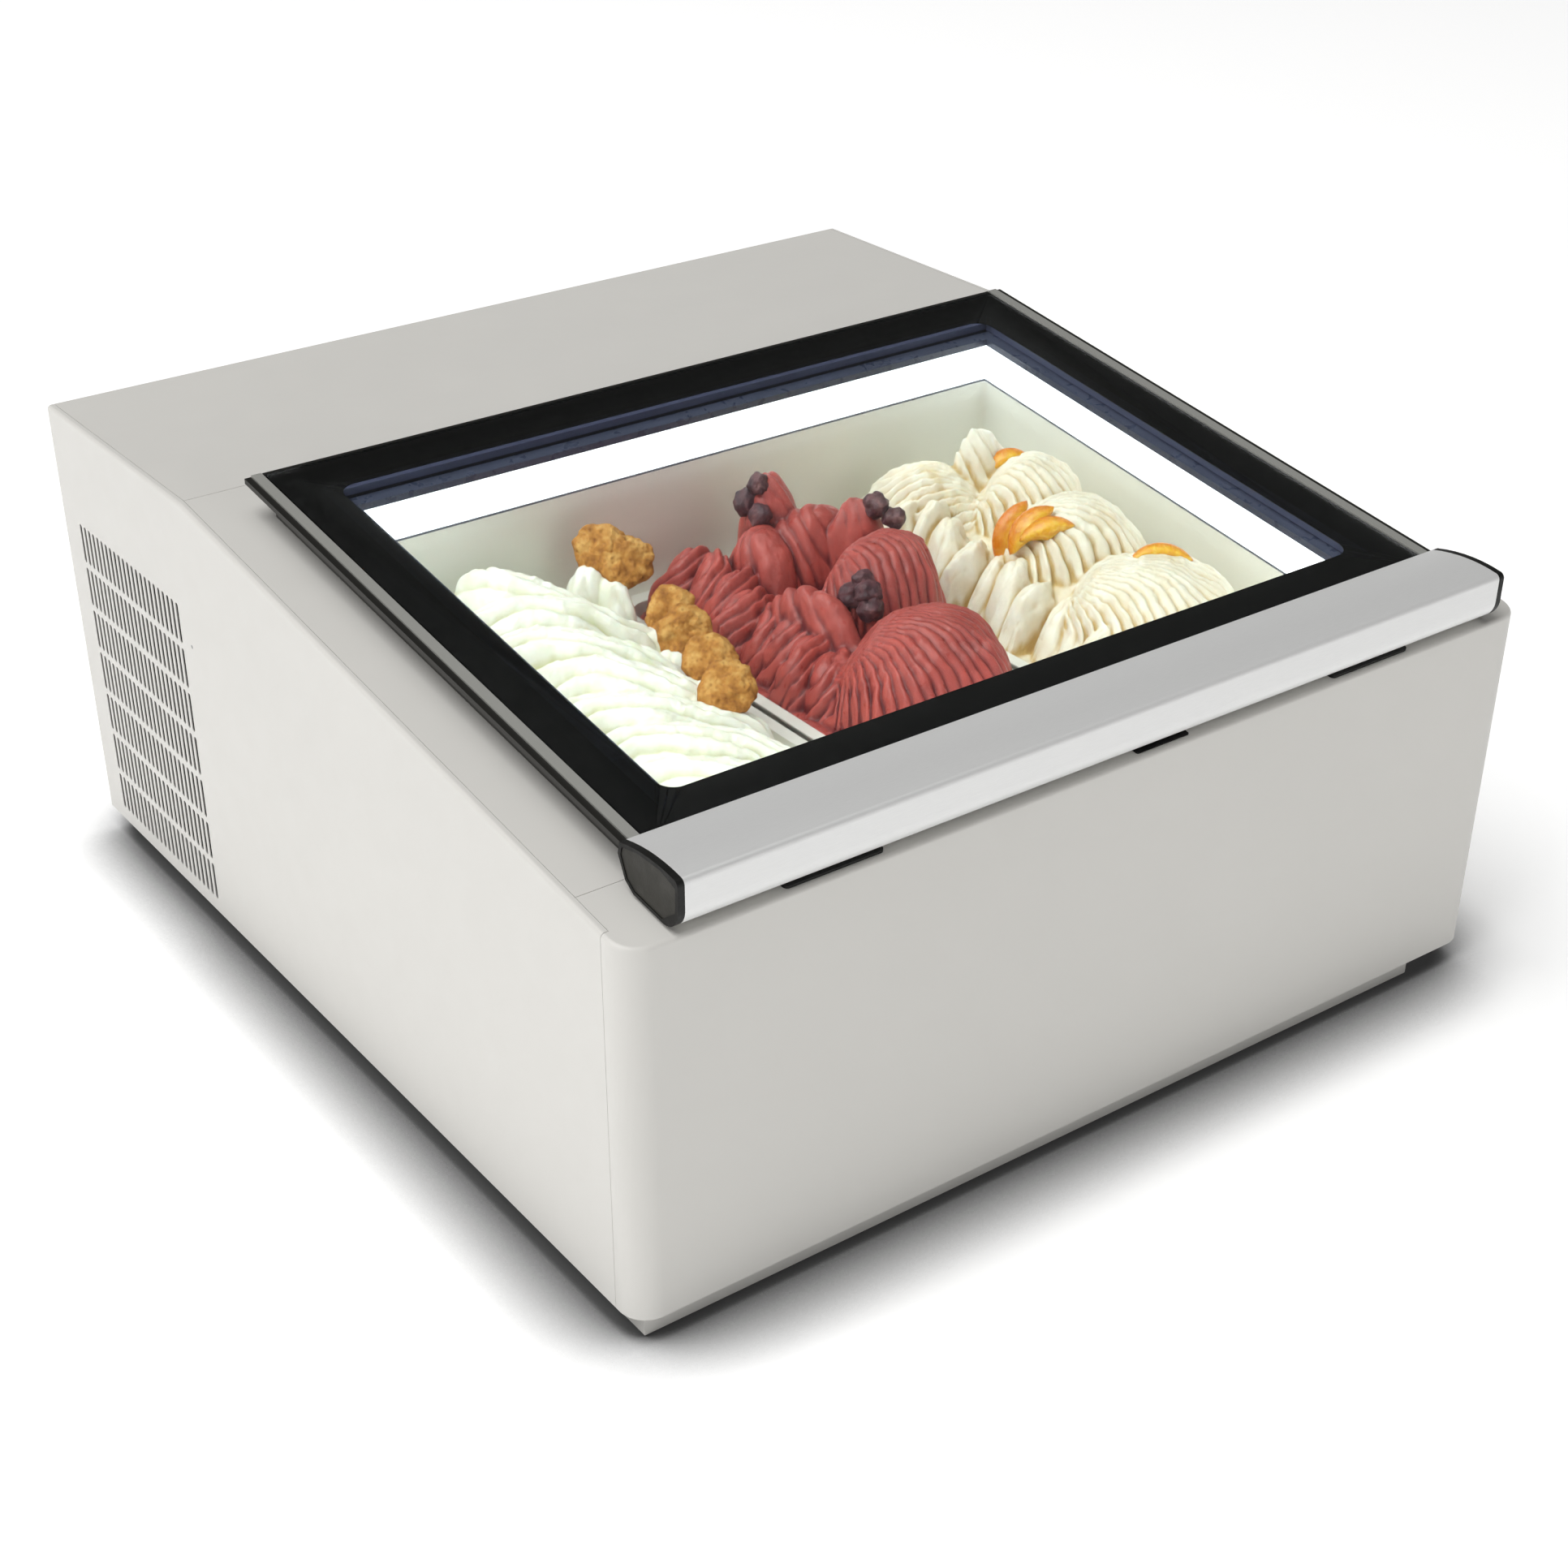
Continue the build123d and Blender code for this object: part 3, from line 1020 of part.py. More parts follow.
with BuildPart() as lid_gasket:
    gasket_h = (GASKET_LOW_H, RAIL_LOW_H)
    outer_s = (RAIL_S[0] + GASKET_INSET, RAIL_S[1] - GASKET_INSET)
    inner_s = (RAIL_S[0] + CROSS_RAIL_W - GASKET_INSET, RAIL_S[1] - CROSS_RAIL_W + GASKET_INSET)
    add(slope_block((-GASKET_X[1], GASKET_X[1]), outer_s, gasket_h))
    add(slope_block((-GASKET_X[0], GASKET_X[0]), inner_s, gasket_h), mode=Mode.SUBTRACT)
lid_gasket.part.label = "lid_gasket"
export_step(lid_gasket.part, "parts/lid_gasket.step")

# ---------------------------------------------------------------- handle along the front edge
HANDLE_HALF_W = 314
CAP_T = 4.5
CAP_RECESS = 0.6
HANDLE_REAR_TIP = (55, 26.8)
SLOT_S, SLOT_H = 43.8, (20.5, 25.1)


def slope_point(s, h):
    """Cabinet (y, z) of a point given by s and h."""
    return (slope_y(s, h), slope_z(s, h))


def handle_section(back_edge):
    """Cross-section of the handle; back_edge lists its rear corners from the bottom up as (s, h)."""
    front = FRONT_Y - HANDLE_LEAD
    tip = slope_point(*HANDLE_REAR_TIP)
    under_front = (FRONT_Y + 11, FRONT_Z + 4)
    with BuildSketch(Plane.YZ) as section:
        with BuildLine():
            brow = (front + 4, FRONT_Z + 36.4)
            Spline(tip, (FRONT_Y + 34, FRONT_Z + 37.3), (FRONT_Y + 14, FRONT_Z + 38), brow)
            ThreePointArc(brow, (front + 1, FRONT_Z + 35), (front, FRONT_Z + 32))
            Line((front, FRONT_Z + 32), (front, FRONT_Z + 18))
            ThreePointArc((front, FRONT_Z + 18), (FRONT_Y, FRONT_Z + 8), under_front)
            Polyline(under_front, *[slope_point(*corner) for corner in back_edge], tip)
        make_face()
    return section.sketch


handle_back = (
    (39, 2.4),
    (44, 5.5),
    (RAIL_S[0] - 0.2, 12),
    (RAIL_S[0] - 0.2, SLOT_H[0]),
    (SLOT_S, SLOT_H[0]),
    (SLOT_S, SLOT_H[1]),
    (HANDLE_REAR_TIP[0], SLOT_H[1]),
)
handle_bore = ((2.5, 17), (3.5, 30), (18, 33), (37, 29.5), (41.3, 24), (41.3, 8), (38.5, 5.2), (12.5, 5.2))
cap_recess = (
    (1, 16),
    (2.5, 31),
    (17, 33.6),
    (38, 30.4),
    (52.4, 25),
    (53, 19.6),
    (46, 8.4),
    (38.4, 4.6),
    (12, 4.6),
)


def rounded_section(corners, radius):
    """Closed outline through (s, h) corners, each rounded."""
    with BuildSketch(Plane.YZ) as section:
        with BuildLine():
            Polyline(*[slope_point(*corner) for corner in corners], close=True)
        make_face()
        fillet(section.vertices(), radius)
    return section.sketch


handle_face = Pos(-HANDLE_HALF_W, 0, 0) * handle_section(handle_back)
bore_face = Pos(-HANDLE_HALF_W, 0, 0) * rounded_section(handle_bore, 2)
with BuildPart() as lid_handle:
    extrude(handle_face, amount=2 * HANDLE_HALF_W, dir=(1, 0, 0))
    extrude(bore_face, amount=2 * HANDLE_HALF_W, dir=(1, 0, 0), mode=Mode.SUBTRACT)
lid_handle.part.label = "lid_handle"
export_step(lid_handle.part, "parts/lid_handle.step")

cap_back = ((39, 2.4), (47.4, 6.5), (55.5, 19.1))
cap_face = handle_section(cap_back)
recess_face = rounded_section(cap_recess, 1.5)
with BuildPart() as handle_caps:
    for cap_x, recess_x in (
        (-HANDLE_HALF_W - CAP_T, -HANDLE_HALF_W - CAP_T),
        (HANDLE_HALF_W, HANDLE_HALF_W + CAP_T - CAP_RECESS),
    ):
        extrude(Pos(cap_x, 0, 0) * cap_face, amount=CAP_T, dir=(1, 0, 0))
        extrude(Pos(recess_x, 0, 0) * recess_face, amount=CAP_RECESS, dir=(1, 0, 0), mode=Mode.SUBTRACT)
handle_caps.part.label = "handle_caps"
export_step(handle_caps.part, "parts/handle_caps.step")

# ---------------------------------------------------------------- rear hinges
HINGE_X = 200
LEAF_W, LEAF_T = 60, 2
KNUCKLE_R, PIN_R = 5, 2.5
LID_KNUCKLE_W, KNUCKLE_GAP = 24, 0.5
LEAF_S = (478, 494)
WEB_HALF_S = 4
LID_LEAF_T = 1.5
hinge_axis = Axis((0, slope_y(LID_AXIS_S, LID_AXIS_H), slope_z(LID_AXIS_S, LID_AXIS_H)), (1, 0, 0))


def knuckle(x, radius):
    """Round bar along the hinge axis between two x values."""
    centre = (sum(x) / 2, hinge_axis.position.Y, hinge_axis.position.Z)
    return Location(centre, (0, 90, 0)) * Cylinder(radius, x[1] - x[0], mode=Mode.PRIVATE)


with BuildPart() as cabinet_hinge_leaves:
    for hinge_x in (-HINGE_X, HINGE_X):
        add(slope_block((hinge_x - LEAF_W / 2, hinge_x + LEAF_W / 2), LEAF_S, (0, LEAF_T)))
        for side in (-1, 1):
            inner = hinge_x + side * (LID_KNUCKLE_W / 2 + KNUCKLE_GAP)
            knuckle_range = sorted((inner, hinge_x + side * LEAF_W / 2))
            add(knuckle(knuckle_range, KNUCKLE_R))
            web_s = (LID_AXIS_S - WEB_HALF_S, LID_AXIS_S + WEB_HALF_S)
            add(slope_block(knuckle_range, web_s, (LEAF_T / 2, LID_AXIS_H)))
        add(knuckle((hinge_x - LEAF_W / 2, hinge_x + LEAF_W / 2), PIN_R))
cabinet_hinge_leaves.part.label = "cabinet_hinge_leaves"
export_step(cabinet_hinge_leaves.part, "parts/cabinet_hinge_leaves.step")

with BuildPart() as lid_hinge_leaves:
    for hinge_x in (-HINGE_X, HINGE_X):
        leaf_range = (hinge_x - LEAF_W / 2, hinge_x + LEAF_W / 2)
        add(slope_block(leaf_range, (RAIL_S[1], RAIL_S[1] + LID_LEAF_T), (RAIL_LOW_H, SHELF_H)))
        knuckle_range = (hinge_x - LID_KNUCKLE_W / 2, hinge_x + LID_KNUCKLE_W / 2)
        add(slope_block(knuckle_range, (RAIL_S[1], LID_AXIS_S), (LID_AXIS_H - 3, LID_AXIS_H + 3)))
        add(knuckle(knuckle_range, KNUCKLE_R))
        add(knuckle(knuckle_range, PIN_R + SHAFT_CLEARANCE), mode=Mode.SUBTRACT)
lid_hinge_leaves.part.label = "lid_hinge_leaves"
export_step(lid_hinge_leaves.part, "parts/lid_hinge_leaves.step")
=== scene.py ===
import json
import math

import bmesh
import bpy
import numpy as np
from mathutils import Euler, Matrix, Vector, noise


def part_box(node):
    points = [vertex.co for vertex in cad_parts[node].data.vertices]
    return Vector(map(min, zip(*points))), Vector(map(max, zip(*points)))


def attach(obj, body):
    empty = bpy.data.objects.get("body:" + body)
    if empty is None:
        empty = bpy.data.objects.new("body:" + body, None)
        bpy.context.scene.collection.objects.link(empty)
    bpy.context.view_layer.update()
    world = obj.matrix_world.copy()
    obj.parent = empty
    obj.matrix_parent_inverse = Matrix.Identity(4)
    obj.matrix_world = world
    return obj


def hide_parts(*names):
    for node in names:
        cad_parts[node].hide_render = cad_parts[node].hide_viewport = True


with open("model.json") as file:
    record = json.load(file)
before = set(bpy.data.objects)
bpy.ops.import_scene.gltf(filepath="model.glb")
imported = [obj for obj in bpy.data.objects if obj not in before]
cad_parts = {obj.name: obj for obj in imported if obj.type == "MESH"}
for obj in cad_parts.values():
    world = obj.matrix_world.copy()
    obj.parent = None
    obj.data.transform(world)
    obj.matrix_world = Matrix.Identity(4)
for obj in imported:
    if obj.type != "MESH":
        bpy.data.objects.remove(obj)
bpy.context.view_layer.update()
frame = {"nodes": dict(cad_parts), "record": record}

NODES = frame["nodes"]


def lin(r, g, b):
    """sRGB 0-255 to linear, with alpha."""
    def one(c):
        c /= 255
        return c / 12.92 if c <= 0.04045 else ((c + 0.055) / 1.055) ** 2.4
    return (one(r), one(g), one(b), 1.0)


# ------------------------------------------------------------------ materials
class Mat:
    """A Principled material with short helpers for its node tree."""

    def __init__(self, name, color, rough=0.5, metal=0.0, **extra):
        self.mat = bpy.data.materials.new(name)
        self.mat.use_nodes = True
        self.tree = self.mat.node_tree
        self.bsdf = self.tree.nodes["Principled BSDF"]
        self.bsdf.inputs["Base Color"].default_value = color
        self.bsdf.inputs["Roughness"].default_value = rough
        self.bsdf.inputs["Metallic"].default_value = metal
        for key, value in extra.items():
            self.bsdf.inputs[key.replace("_", " ")].default_value = value
        self.coords = None

    def node(self, kind, **values):
        n = self.tree.nodes.new(kind)
        for key, value in values.items():
            if key in n.inputs:
                n.inputs[key].default_value = value
            else:
                setattr(n, key, value)
        return n

    def link(self, a, b):
        self.tree.links.new(a, b)

    def place(self, scale=(1, 1, 1)):
        """Object coordinates in metres, stretched."""
        if self.coords is None:
            self.coords = self.node("ShaderNodeTexCoord")
        m = self.node("ShaderNodeMapping")
        m.inputs["Scale"].default_value = scale
        self.link(self.coords.outputs["Object"], m.inputs["Vector"])
        return m.outputs["Vector"]

    def noise(self, scale, detail=3.0, rough=0.55, stretch=(1, 1, 1), distortion=0.0):
        n = self.node("ShaderNodeTexNoise")
        n.inputs["Scale"].default_value = scale
        n.inputs["Detail"].default_value = detail
        n.inputs["Roughness"].default_value = rough
        n.inputs["Distortion"].default_value = distortion
        self.link(self.place(stretch), n.inputs["Vector"])
        return n.outputs["Fac"]

    def voronoi(self, scale):
        n = self.node("ShaderNodeTexVoronoi")
        n.inputs["Scale"].default_value = scale
        self.link(self.place(), n.inputs["Vector"])
        return n.outputs["Distance"]

    def ramp(self, fac, stops):
        n = self.node("ShaderNodeValToRGB")
        el = n.color_ramp.elements
        while len(el) < len(stops):
            el.new(0.5)
        for e, (pos, col) in zip(el, stops):
            e.position, e.color = pos, col
        self.link(fac, n.inputs["Fac"])
        return n.outputs["Color"]

    def spread(self, fac, low, high, from_low=0.3, from_high=0.7):
        n = self.node("ShaderNodeMapRange")
        limits = {"From Min": from_low, "From Max": from_high, "To Min": low, "To Max": high}
        for key, value in limits.items():
            n.inputs[key].default_value = value
        self.link(fac, n.inputs["Value"])
        return n.outputs["Result"]

    def mix(self, fac, a, b):
        n = self.node("ShaderNodeMix", data_type="RGBA")
        for value, socket in ((fac, n.inputs[0]), (a, n.inputs[6]), (b, n.inputs[7])):
            if hasattr(value, "links"):
                self.link(value, socket)
            else:
                socket.default_value = value
        return n.outputs[2]

    def math(self, op, a, b=0.0):
        n = self.node("ShaderNodeMath", operation=op)
        for value, socket in ((a, n.inputs[0]), (b, n.inputs[1])):
            if hasattr(value, "links"):
                self.link(value, socket)
            else:
                socket.default_value = value
        return n.outputs[0]

    def color(self, socket):
        self.link(socket, self.bsdf.inputs["Base Color"])

    def rough(self, fac, low, high):
        self.link(self.spread(fac, low, high), self.bsdf.inputs["Roughness"])

    def bump(self, *layers):
        """layers of (height socket, distance in metres)."""
        last = None
        for height, distance in layers:
            n = self.node("ShaderNodeBump")
            n.inputs["Strength"].default_value = 1.0
            n.inputs["Distance"].default_value = distance
            self.link(height, n.inputs["Height"])
            if last is not None:
                self.link(last, n.inputs["Normal"])
            last = n.outputs["Normal"]
        self.link(last, self.bsdf.inputs["Normal"])


def vary(m, color, amount, scale, detail=3.0, stretch=(1, 1, 1)):
    """Base colour that drifts darker and lighter by amount."""
    fac = m.spread(m.noise(scale, detail, stretch=stretch), 0, 1)
    dark = tuple(c * (1 - amount) for c in color[:3]) + (1,)
    light = tuple(min(1, c * (1 + amount)) for c in color[:3]) + (1,)
    m.color(m.mix(fac, dark, light))


def powder_coat(name, color):
    m = Mat(name, color, 0.4, Specular_IOR_Level=0.45)
    vary(m, color, 0.015, 3.0)
    m.rough(m.noise(40, 4), 0.34, 0.46)
    m.bump((m.noise(900, 2), 0.00002), (m.noise(60, 2), 0.00003))
    return m.mat


def metal(name, color, rough=(0.25, 0.4), stretch=(1, 60, 1), grain=300, amount=0.08,
          metallic=1.0, depth=0.00002):
    """Satin or brushed metal; the grain runs across the axis that stretch scales up."""
    m = Mat(name, color, rough[0], metallic)
    vary(m, color, amount, grain, 4, stretch)
    m.rough(m.noise(grain * 1.7, 3, stretch=stretch), *rough)
    m.bump((m.noise(grain * 2.5, 2, stretch=stretch), depth))
    return m.mat


def plastic(name, color, rough=(0.4, 0.55), grain=700, depth=0.00003, amount=0.06):
    m = Mat(name, color, rough[0], Specular_IOR_Level=0.4)
    vary(m, color, amount, 25)
    m.rough(m.noise(120, 3), *rough)
    m.bump((m.voronoi(grain), depth))
    return m.mat


def glow(name, color, strength):
    """Opal cover lit from behind."""
    m = Mat(name, color, 0.35)
    m.bsdf.inputs["Emission Color"].default_value = (0.93, 0.97, 1.0, 1)
    m.bsdf.inputs["Emission Strength"].default_value = strength
    vary(m, color, 0.02, 30)
    m.bump((m.noise(500, 2), 0.00001))
    return m.mat


def pane(name):
    """Clear glass that lets lamps through to what is behind it."""
    m = Mat(name, (0.97, 0.99, 0.985, 1), 0.02)
    m.bsdf.inputs["Transmission Weight"].default_value = 1.0
    m.bsdf.inputs["IOR"].default_value = 1.45
    m.bsdf.inputs["Specular IOR Level"].default_value = 0.3
    m.bump((m.noise(14, 2), 0.00001))
    path = m.node("ShaderNodeLightPath")
    clear = m.node("ShaderNodeBsdfTransparent")
    clear.inputs["Color"].default_value = (0.97, 0.985, 0.98, 1)
    mixer = m.node("ShaderNodeMixShader")
    m.link(path.outputs["Is Shadow Ray"], mixer.inputs[0])
    m.link(m.bsdf.outputs[0], mixer.inputs[1])
    m.link(clear.outputs[0], mixer.inputs[2])
    m.link(mixer.outputs[0], m.tree.nodes["Material Output"].inputs["Surface"])
    return m.mat


def end_cap_plastic():
    """Dark moulded cap whose raised rim is black."""
    m = Mat("cap_plastic", lin(52, 51, 47), 0.5, Specular_IOR_Level=0.3)
    split = m.node("ShaderNodeSeparateXYZ")
    m.link(m.place(), split.inputs[0])
    outward = m.math("ABSOLUTE", split.outputs[0])
    face = m.math("LESS_THAN", outward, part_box("handle_caps")[1].x - 0.0005)
    geo = m.node("ShaderNodeNewGeometry")
    turn = m.node("ShaderNodeSeparateXYZ")
    m.link(geo.outputs["Normal"], turn.inputs[0])
    flat = m.math("GREATER_THAN", m.math("ABSOLUTE", turn.outputs[0]), 0.7)
    inner = m.math("MULTIPLY", face, flat)
    face_color = m.mix(m.spread(m.noise(30), 0, 1), lin(50, 49, 45), lin(58, 56, 51))
    m.color(m.mix(inner, lin(16, 16, 14), face_color))
    m.rough(m.noise(90), 0.42, 0.6)
    m.bump((m.voronoi(900), 0.00004))
    return m.mat


CASING = lin(214, 212, 207)
LOOKS = {
    "casing": powder_coat("casing", CASING),
    "rubber": plastic("rubber", lin(24, 24, 23), (0.6, 0.8), 500, 0.00005),
    "zinc_sheet": metal("zinc_sheet", (0.5, 0.51, 0.52, 1), (0.35, 0.55), (1, 1, 1), 60, 0.15),
    "screws": metal("screws", (0.3, 0.3, 0.3, 1), (0.3, 0.45), (1, 1, 1), 900),
    "brushed_metal": metal("brushed_metal", (0.03, 0.03, 0.03, 1), (0.35, 0.45), (1, 40, 1), 300),
    "stainless": metal("stainless", lin(240, 240, 232), (0.44, 0.52), (1, 1, 12), 30, 0.02, 0.25,
                       0.000001),
    "light_housing": plastic("light_housing", lin(62, 66, 84), (0.25, 0.35), 600, 0.00001),
    "diffuser": glow("diffuser", (0.9, 0.92, 0.95, 1), 2.2),
    "circuit_strip": plastic("circuit_strip", (0.8, 0.8, 0.75, 1), (0.4, 0.5)),
    "copper": metal("copper", (0.72, 0.36, 0.22, 1), (0.22, 0.42), (1, 1, 1), 120, 0.2),
    "foam": plastic("foam", (0.78, 0.68, 0.42, 1), (0.7, 0.9), 350, 0.0003),
    "compressor_paint": powder_coat("compressor_paint", (0.018, 0.018, 0.02, 1)),
    "dark_plastic": plastic("dark_plastic", (0.022, 0.022, 0.024, 1)),
    "fan_plastic": plastic("fan_plastic", (0.06, 0.06, 0.065, 1)),
    # aluminium fins coloured near-black: painted shade seen through the grille slots
    "fin_aluminium": metal("fin_aluminium", (0.05, 0.05, 0.052, 1), (0.4, 0.6), (1, 1, 20), 100),
    "display_window": plastic("display_window", (0.02, 0.004, 0.004, 1), (0.08, 0.14), 200,
                              0.000002),
    "button_plastic": plastic("button_plastic", lin(150, 152, 156), (0.35, 0.5)),
    "rocker_plastic": plastic("rocker_plastic", lin(170, 24, 18), (0.2, 0.3), 300, 0.00001),
    "hinge_steel": metal("hinge_steel", (0.42, 0.42, 0.42, 1), (0.28, 0.42), (40, 1, 1), 200),
    "glass": pane("glass"),
    "frit": plastic("frit", (0.0015, 0.0017, 0.0015, 1), (0.35, 0.45), 60, 0.0000005),
    "spacer": metal("spacer", lin(70, 75, 100), (0.3, 0.42), (1, 1, 1), 80, 0.05, 0.3),
    "black_frame": metal("black_frame", lin(40, 39, 36), (0.3, 0.42), (60, 1, 60), 240, 0.1, 0.4),
    "silver_trim": metal("silver_trim", lin(196, 196, 190), (0.34, 0.46), (60, 1, 60), 200, 0.05,
                         0.6),
    "gasket": plastic("gasket", lin(26, 26, 25), (0.55, 0.7)),
    "handle_aluminium": metal("handle_aluminium", lin(230, 230, 229), (0.34, 0.42), (1, 80, 80),
                              160, 0.04, 0.35),
    "cap_plastic": end_cap_plastic(),
}


def finish_nodes():
    """Every CAD node gets its slot's material, and smooth shading over its round faces."""
    for sub in frame["record"]["subparts"]:
        obj = NODES[sub["node"]]
        mat = LOOKS.get(sub["material_slot"])
        if mat is None:
            continue
        obj.data.materials.clear()
        obj.data.materials.append(mat)
        obj.data.shade_smooth()
        obj.data.set_sharp_from_angle(angle=math.radians(32))


finish_nodes()

# ------------------------------------------------------------------ gelato
# Sculpting is done in millimetres, in the cabinet's own frame.
MM = 0.001
RIM_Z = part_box("pan_middle")[1].z / MM
PAN_TAPER = 8 / 120  # how far the pan's wall leans in for each unit of depth
FILL_LOW_Z = 108
RIB_SPAN = 0.62  # half the angle, in radians, that a fan of ridges covers
PAN_CORNER_R = 17
WALL_BAND = 7  # within this distance of the pan's wall the gelato falls away to below the rim
WALL_DROP, WALL_RISE = 4, 3.2
FOLD_SIZE, CREASE_SIZE = 30, 8  # sizes of the random folds that bend the strokes
FOLD_SHIFT, CREASE_SHARE = 6, 0.25
GROOVE_STEPS, GROOVE_DEPTH = 24, 2.5  # what lies deeper than its surroundings gets painted shade as a groove


def lobe(X, Y, x, y, rx, ry, turn, top, base=226, power=0.5, ribs=0, depth=2.6, fan=1.15,
         curl=0.0, lean=0.0, ruffle=0.1, roll=0.0):
    """One spatula stroke: a dome over an ellipse with ridges that fan out from its back end.

    ribs counts the ridges; fan 0 combs them straight along the stroke instead. lean raises the
    tip, roll the left side."""
    c, s = math.cos(math.radians(turn)), math.sin(math.radians(turn))
    p = ((X - x) * c + (Y - y) * s) / rx
    q = (-(X - x) * s + (Y - y) * c) / ry
    out = p * p + q * q
    ridge = np.full(X.shape, 0.5)
    if ribs:
        across = np.arctan2(q, p + fan) / RIB_SPAN if fan else q
        ridge = np.abs(np.sin(math.pi * ribs * (across / 2 + curl * out)))
    inside = np.clip(1 - out + ruffle * (ridge - 0.6) * out, 0, 1)
    height = base + (top - base) * inside ** power + (lean * p + roll * q) * inside
    if ribs:
        height = height + depth * (ridge ** 0.7 - 0.6) * np.minimum(1, inside * 5)
    return np.where(inside > 0, height, 0.0)


def wobble(X, Y, size, seed):
    """Smooth random field from -1 to 1."""
    flat = [noise.noise(Vector((x / size, y / size, seed))) for x, y in zip(X.ravel(), Y.ravel())]
    return np.array(flat).reshape(X.shape)


def soften(Z, times):
    """Rounds sharp steps by averaging with the neighbours."""
    for _ in range(times):
        P = np.pad(Z, 1, mode="edge")
        Z = (4 * Z + P[:-2, 1:-1] + P[2:, 1:-1] + P[1:-1, :-2] + P[1:-1, 2:]) / 8
    return Z


def fill_pan(name, shape, mat, seed, rough, columns=180, rows=410):
    """Gelato in one pan: a sculpted top surface on a skirt that follows the pan's walls."""
    lo, hi = (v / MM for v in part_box(f"gelato_{name}"))
    cx, cy = (lo.x + hi.x) / 2, (lo.y + hi.y) / 2
    hx, hy, corner = (hi.x - lo.x) / 2, (hi.y - lo.y) / 2, PAN_CORNER_R
    X, Y = np.meshgrid(np.linspace(-hx, hx, columns), np.linspace(-hy, hy, rows), indexing="ij")
    over_x, over_y = np.abs(X) - (hx - corner), np.abs(Y) - (hy - corner)
    reach = np.hypot(over_x, over_y)
    outside = (over_x > 0) & (over_y > 0) & (reach > corner)
    scale = np.where(outside, corner / np.maximum(reach, 1e-6), 1)
    X = np.where(outside, np.sign(X) * (hx - corner + over_x * scale), X)
    Y = np.where(outside, np.sign(Y) * (hy - corner + over_y * scale), Y)
    warp_x, warp_y = wobble(X, Y, FOLD_SIZE, seed), wobble(X, Y, FOLD_SIZE, seed + 5)
    warp_x = warp_x + CREASE_SHARE * wobble(X, Y, CREASE_SIZE, seed + 2)
    warp_y = warp_y + CREASE_SHARE * wobble(X, Y, CREASE_SIZE, seed + 3)
    raw = shape(X + cx + FOLD_SHIFT * warp_x, Y + cy + FOLD_SHIFT * warp_y)
    Z = soften(raw, 2)
    # how far each point lies below its smoothed surroundings; the material paints shade there
    groove_shade_mask = np.clip((soften(raw, GROOVE_STEPS) - Z) / GROOVE_DEPTH, -1, 1)
    Z = Z + rough * (wobble(X, Y, 7, seed + 9) + 0.4 * wobble(X, Y, 2.6, seed + 11))
    edge = np.minimum(hx - np.abs(X), hy - np.abs(Y))
    Z = np.where(edge < WALL_BAND, np.minimum(Z, RIM_Z - WALL_DROP + WALL_RISE * edge), Z)
    shrink_x = np.minimum(1, 1 - PAN_TAPER * (RIM_Z - Z) / hx)
    shrink_y = np.minimum(1, 1 - PAN_TAPER * (RIM_Z - Z) / hy)
    X, Y = cx + X * shrink_x, cy + Y * shrink_y
    verts = [(x * MM, y * MM, z * MM) for x, y, z in zip(X.ravel(), Y.ravel(), Z.ravel())]
    faces = []
    for i in range(columns - 1):
        for j in range(rows - 1):
            a = i * rows + j
            faces.append((a, a + rows, a + rows + 1, a + 1))
    loop = [i * rows for i in range(columns)]
    loop += [(columns - 1) * rows + j for j in range(1, rows)]
    loop += [i * rows + rows - 1 for i in range(columns - 2, -1, -1)]
    loop += [j for j in range(rows - 2, 0, -1)]
    low = 1 - PAN_TAPER * (RIM_Z - FILL_LOW_Z) / hx, 1 - PAN_TAPER * (RIM_Z - FILL_LOW_Z) / hy
    first = len(verts)
    for k in loop:
        x, y, z = (c / MM for c in verts[k])
        tx = (x - cx) / max(1e-6, 1 - PAN_TAPER * (RIM_Z - z) / hx)
        ty = (y - cy) / (1 - PAN_TAPER * (RIM_Z - z) / hy)
        verts.append(((cx + tx * low[0]) * MM, (cy + ty * low[1]) * MM, FILL_LOW_Z * MM))
    n = len(loop)
    for k in range(n):
        faces.append((loop[k], first + k, first + (k + 1) % n, loop[(k + 1) % n]))
    faces.append(tuple(first + k for k in range(n))[::-1])
    mesh = bpy.data.meshes.new(f"gelato_{name}_sculpt")
    mesh.from_pydata(verts, [], faces)
    attribute = mesh.attributes.new("groove_shade_mask", "FLOAT", "POINT")
    values = np.zeros(len(verts), np.float32)
    values[: groove_shade_mask.size] = groove_shade_mask.ravel()
    attribute.data.foreach_set("value", values)
    bm = bmesh.new()
    bm.from_mesh(mesh)
    bmesh.ops.remove_doubles(bm, verts=bm.verts, dist=1e-6)
    bmesh.ops.recalc_face_normals(bm, faces=bm.faces)
    bm.to_mesh(mesh)
    bm.free()
    mesh.shade_smooth()
    mesh.materials.append(mat)
    piece = bpy.data.objects.new(f"gelato_{name}_sculpt", mesh)
    bpy.context.scene.collection.objects.link(piece)
    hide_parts(f"gelato_{name}")
    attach(piece, "cabinet")
    return piece


def highest(*layers):
    out = layers[0]
    for layer in layers[1:]:
        out = np.maximum(out, layer)
    return out


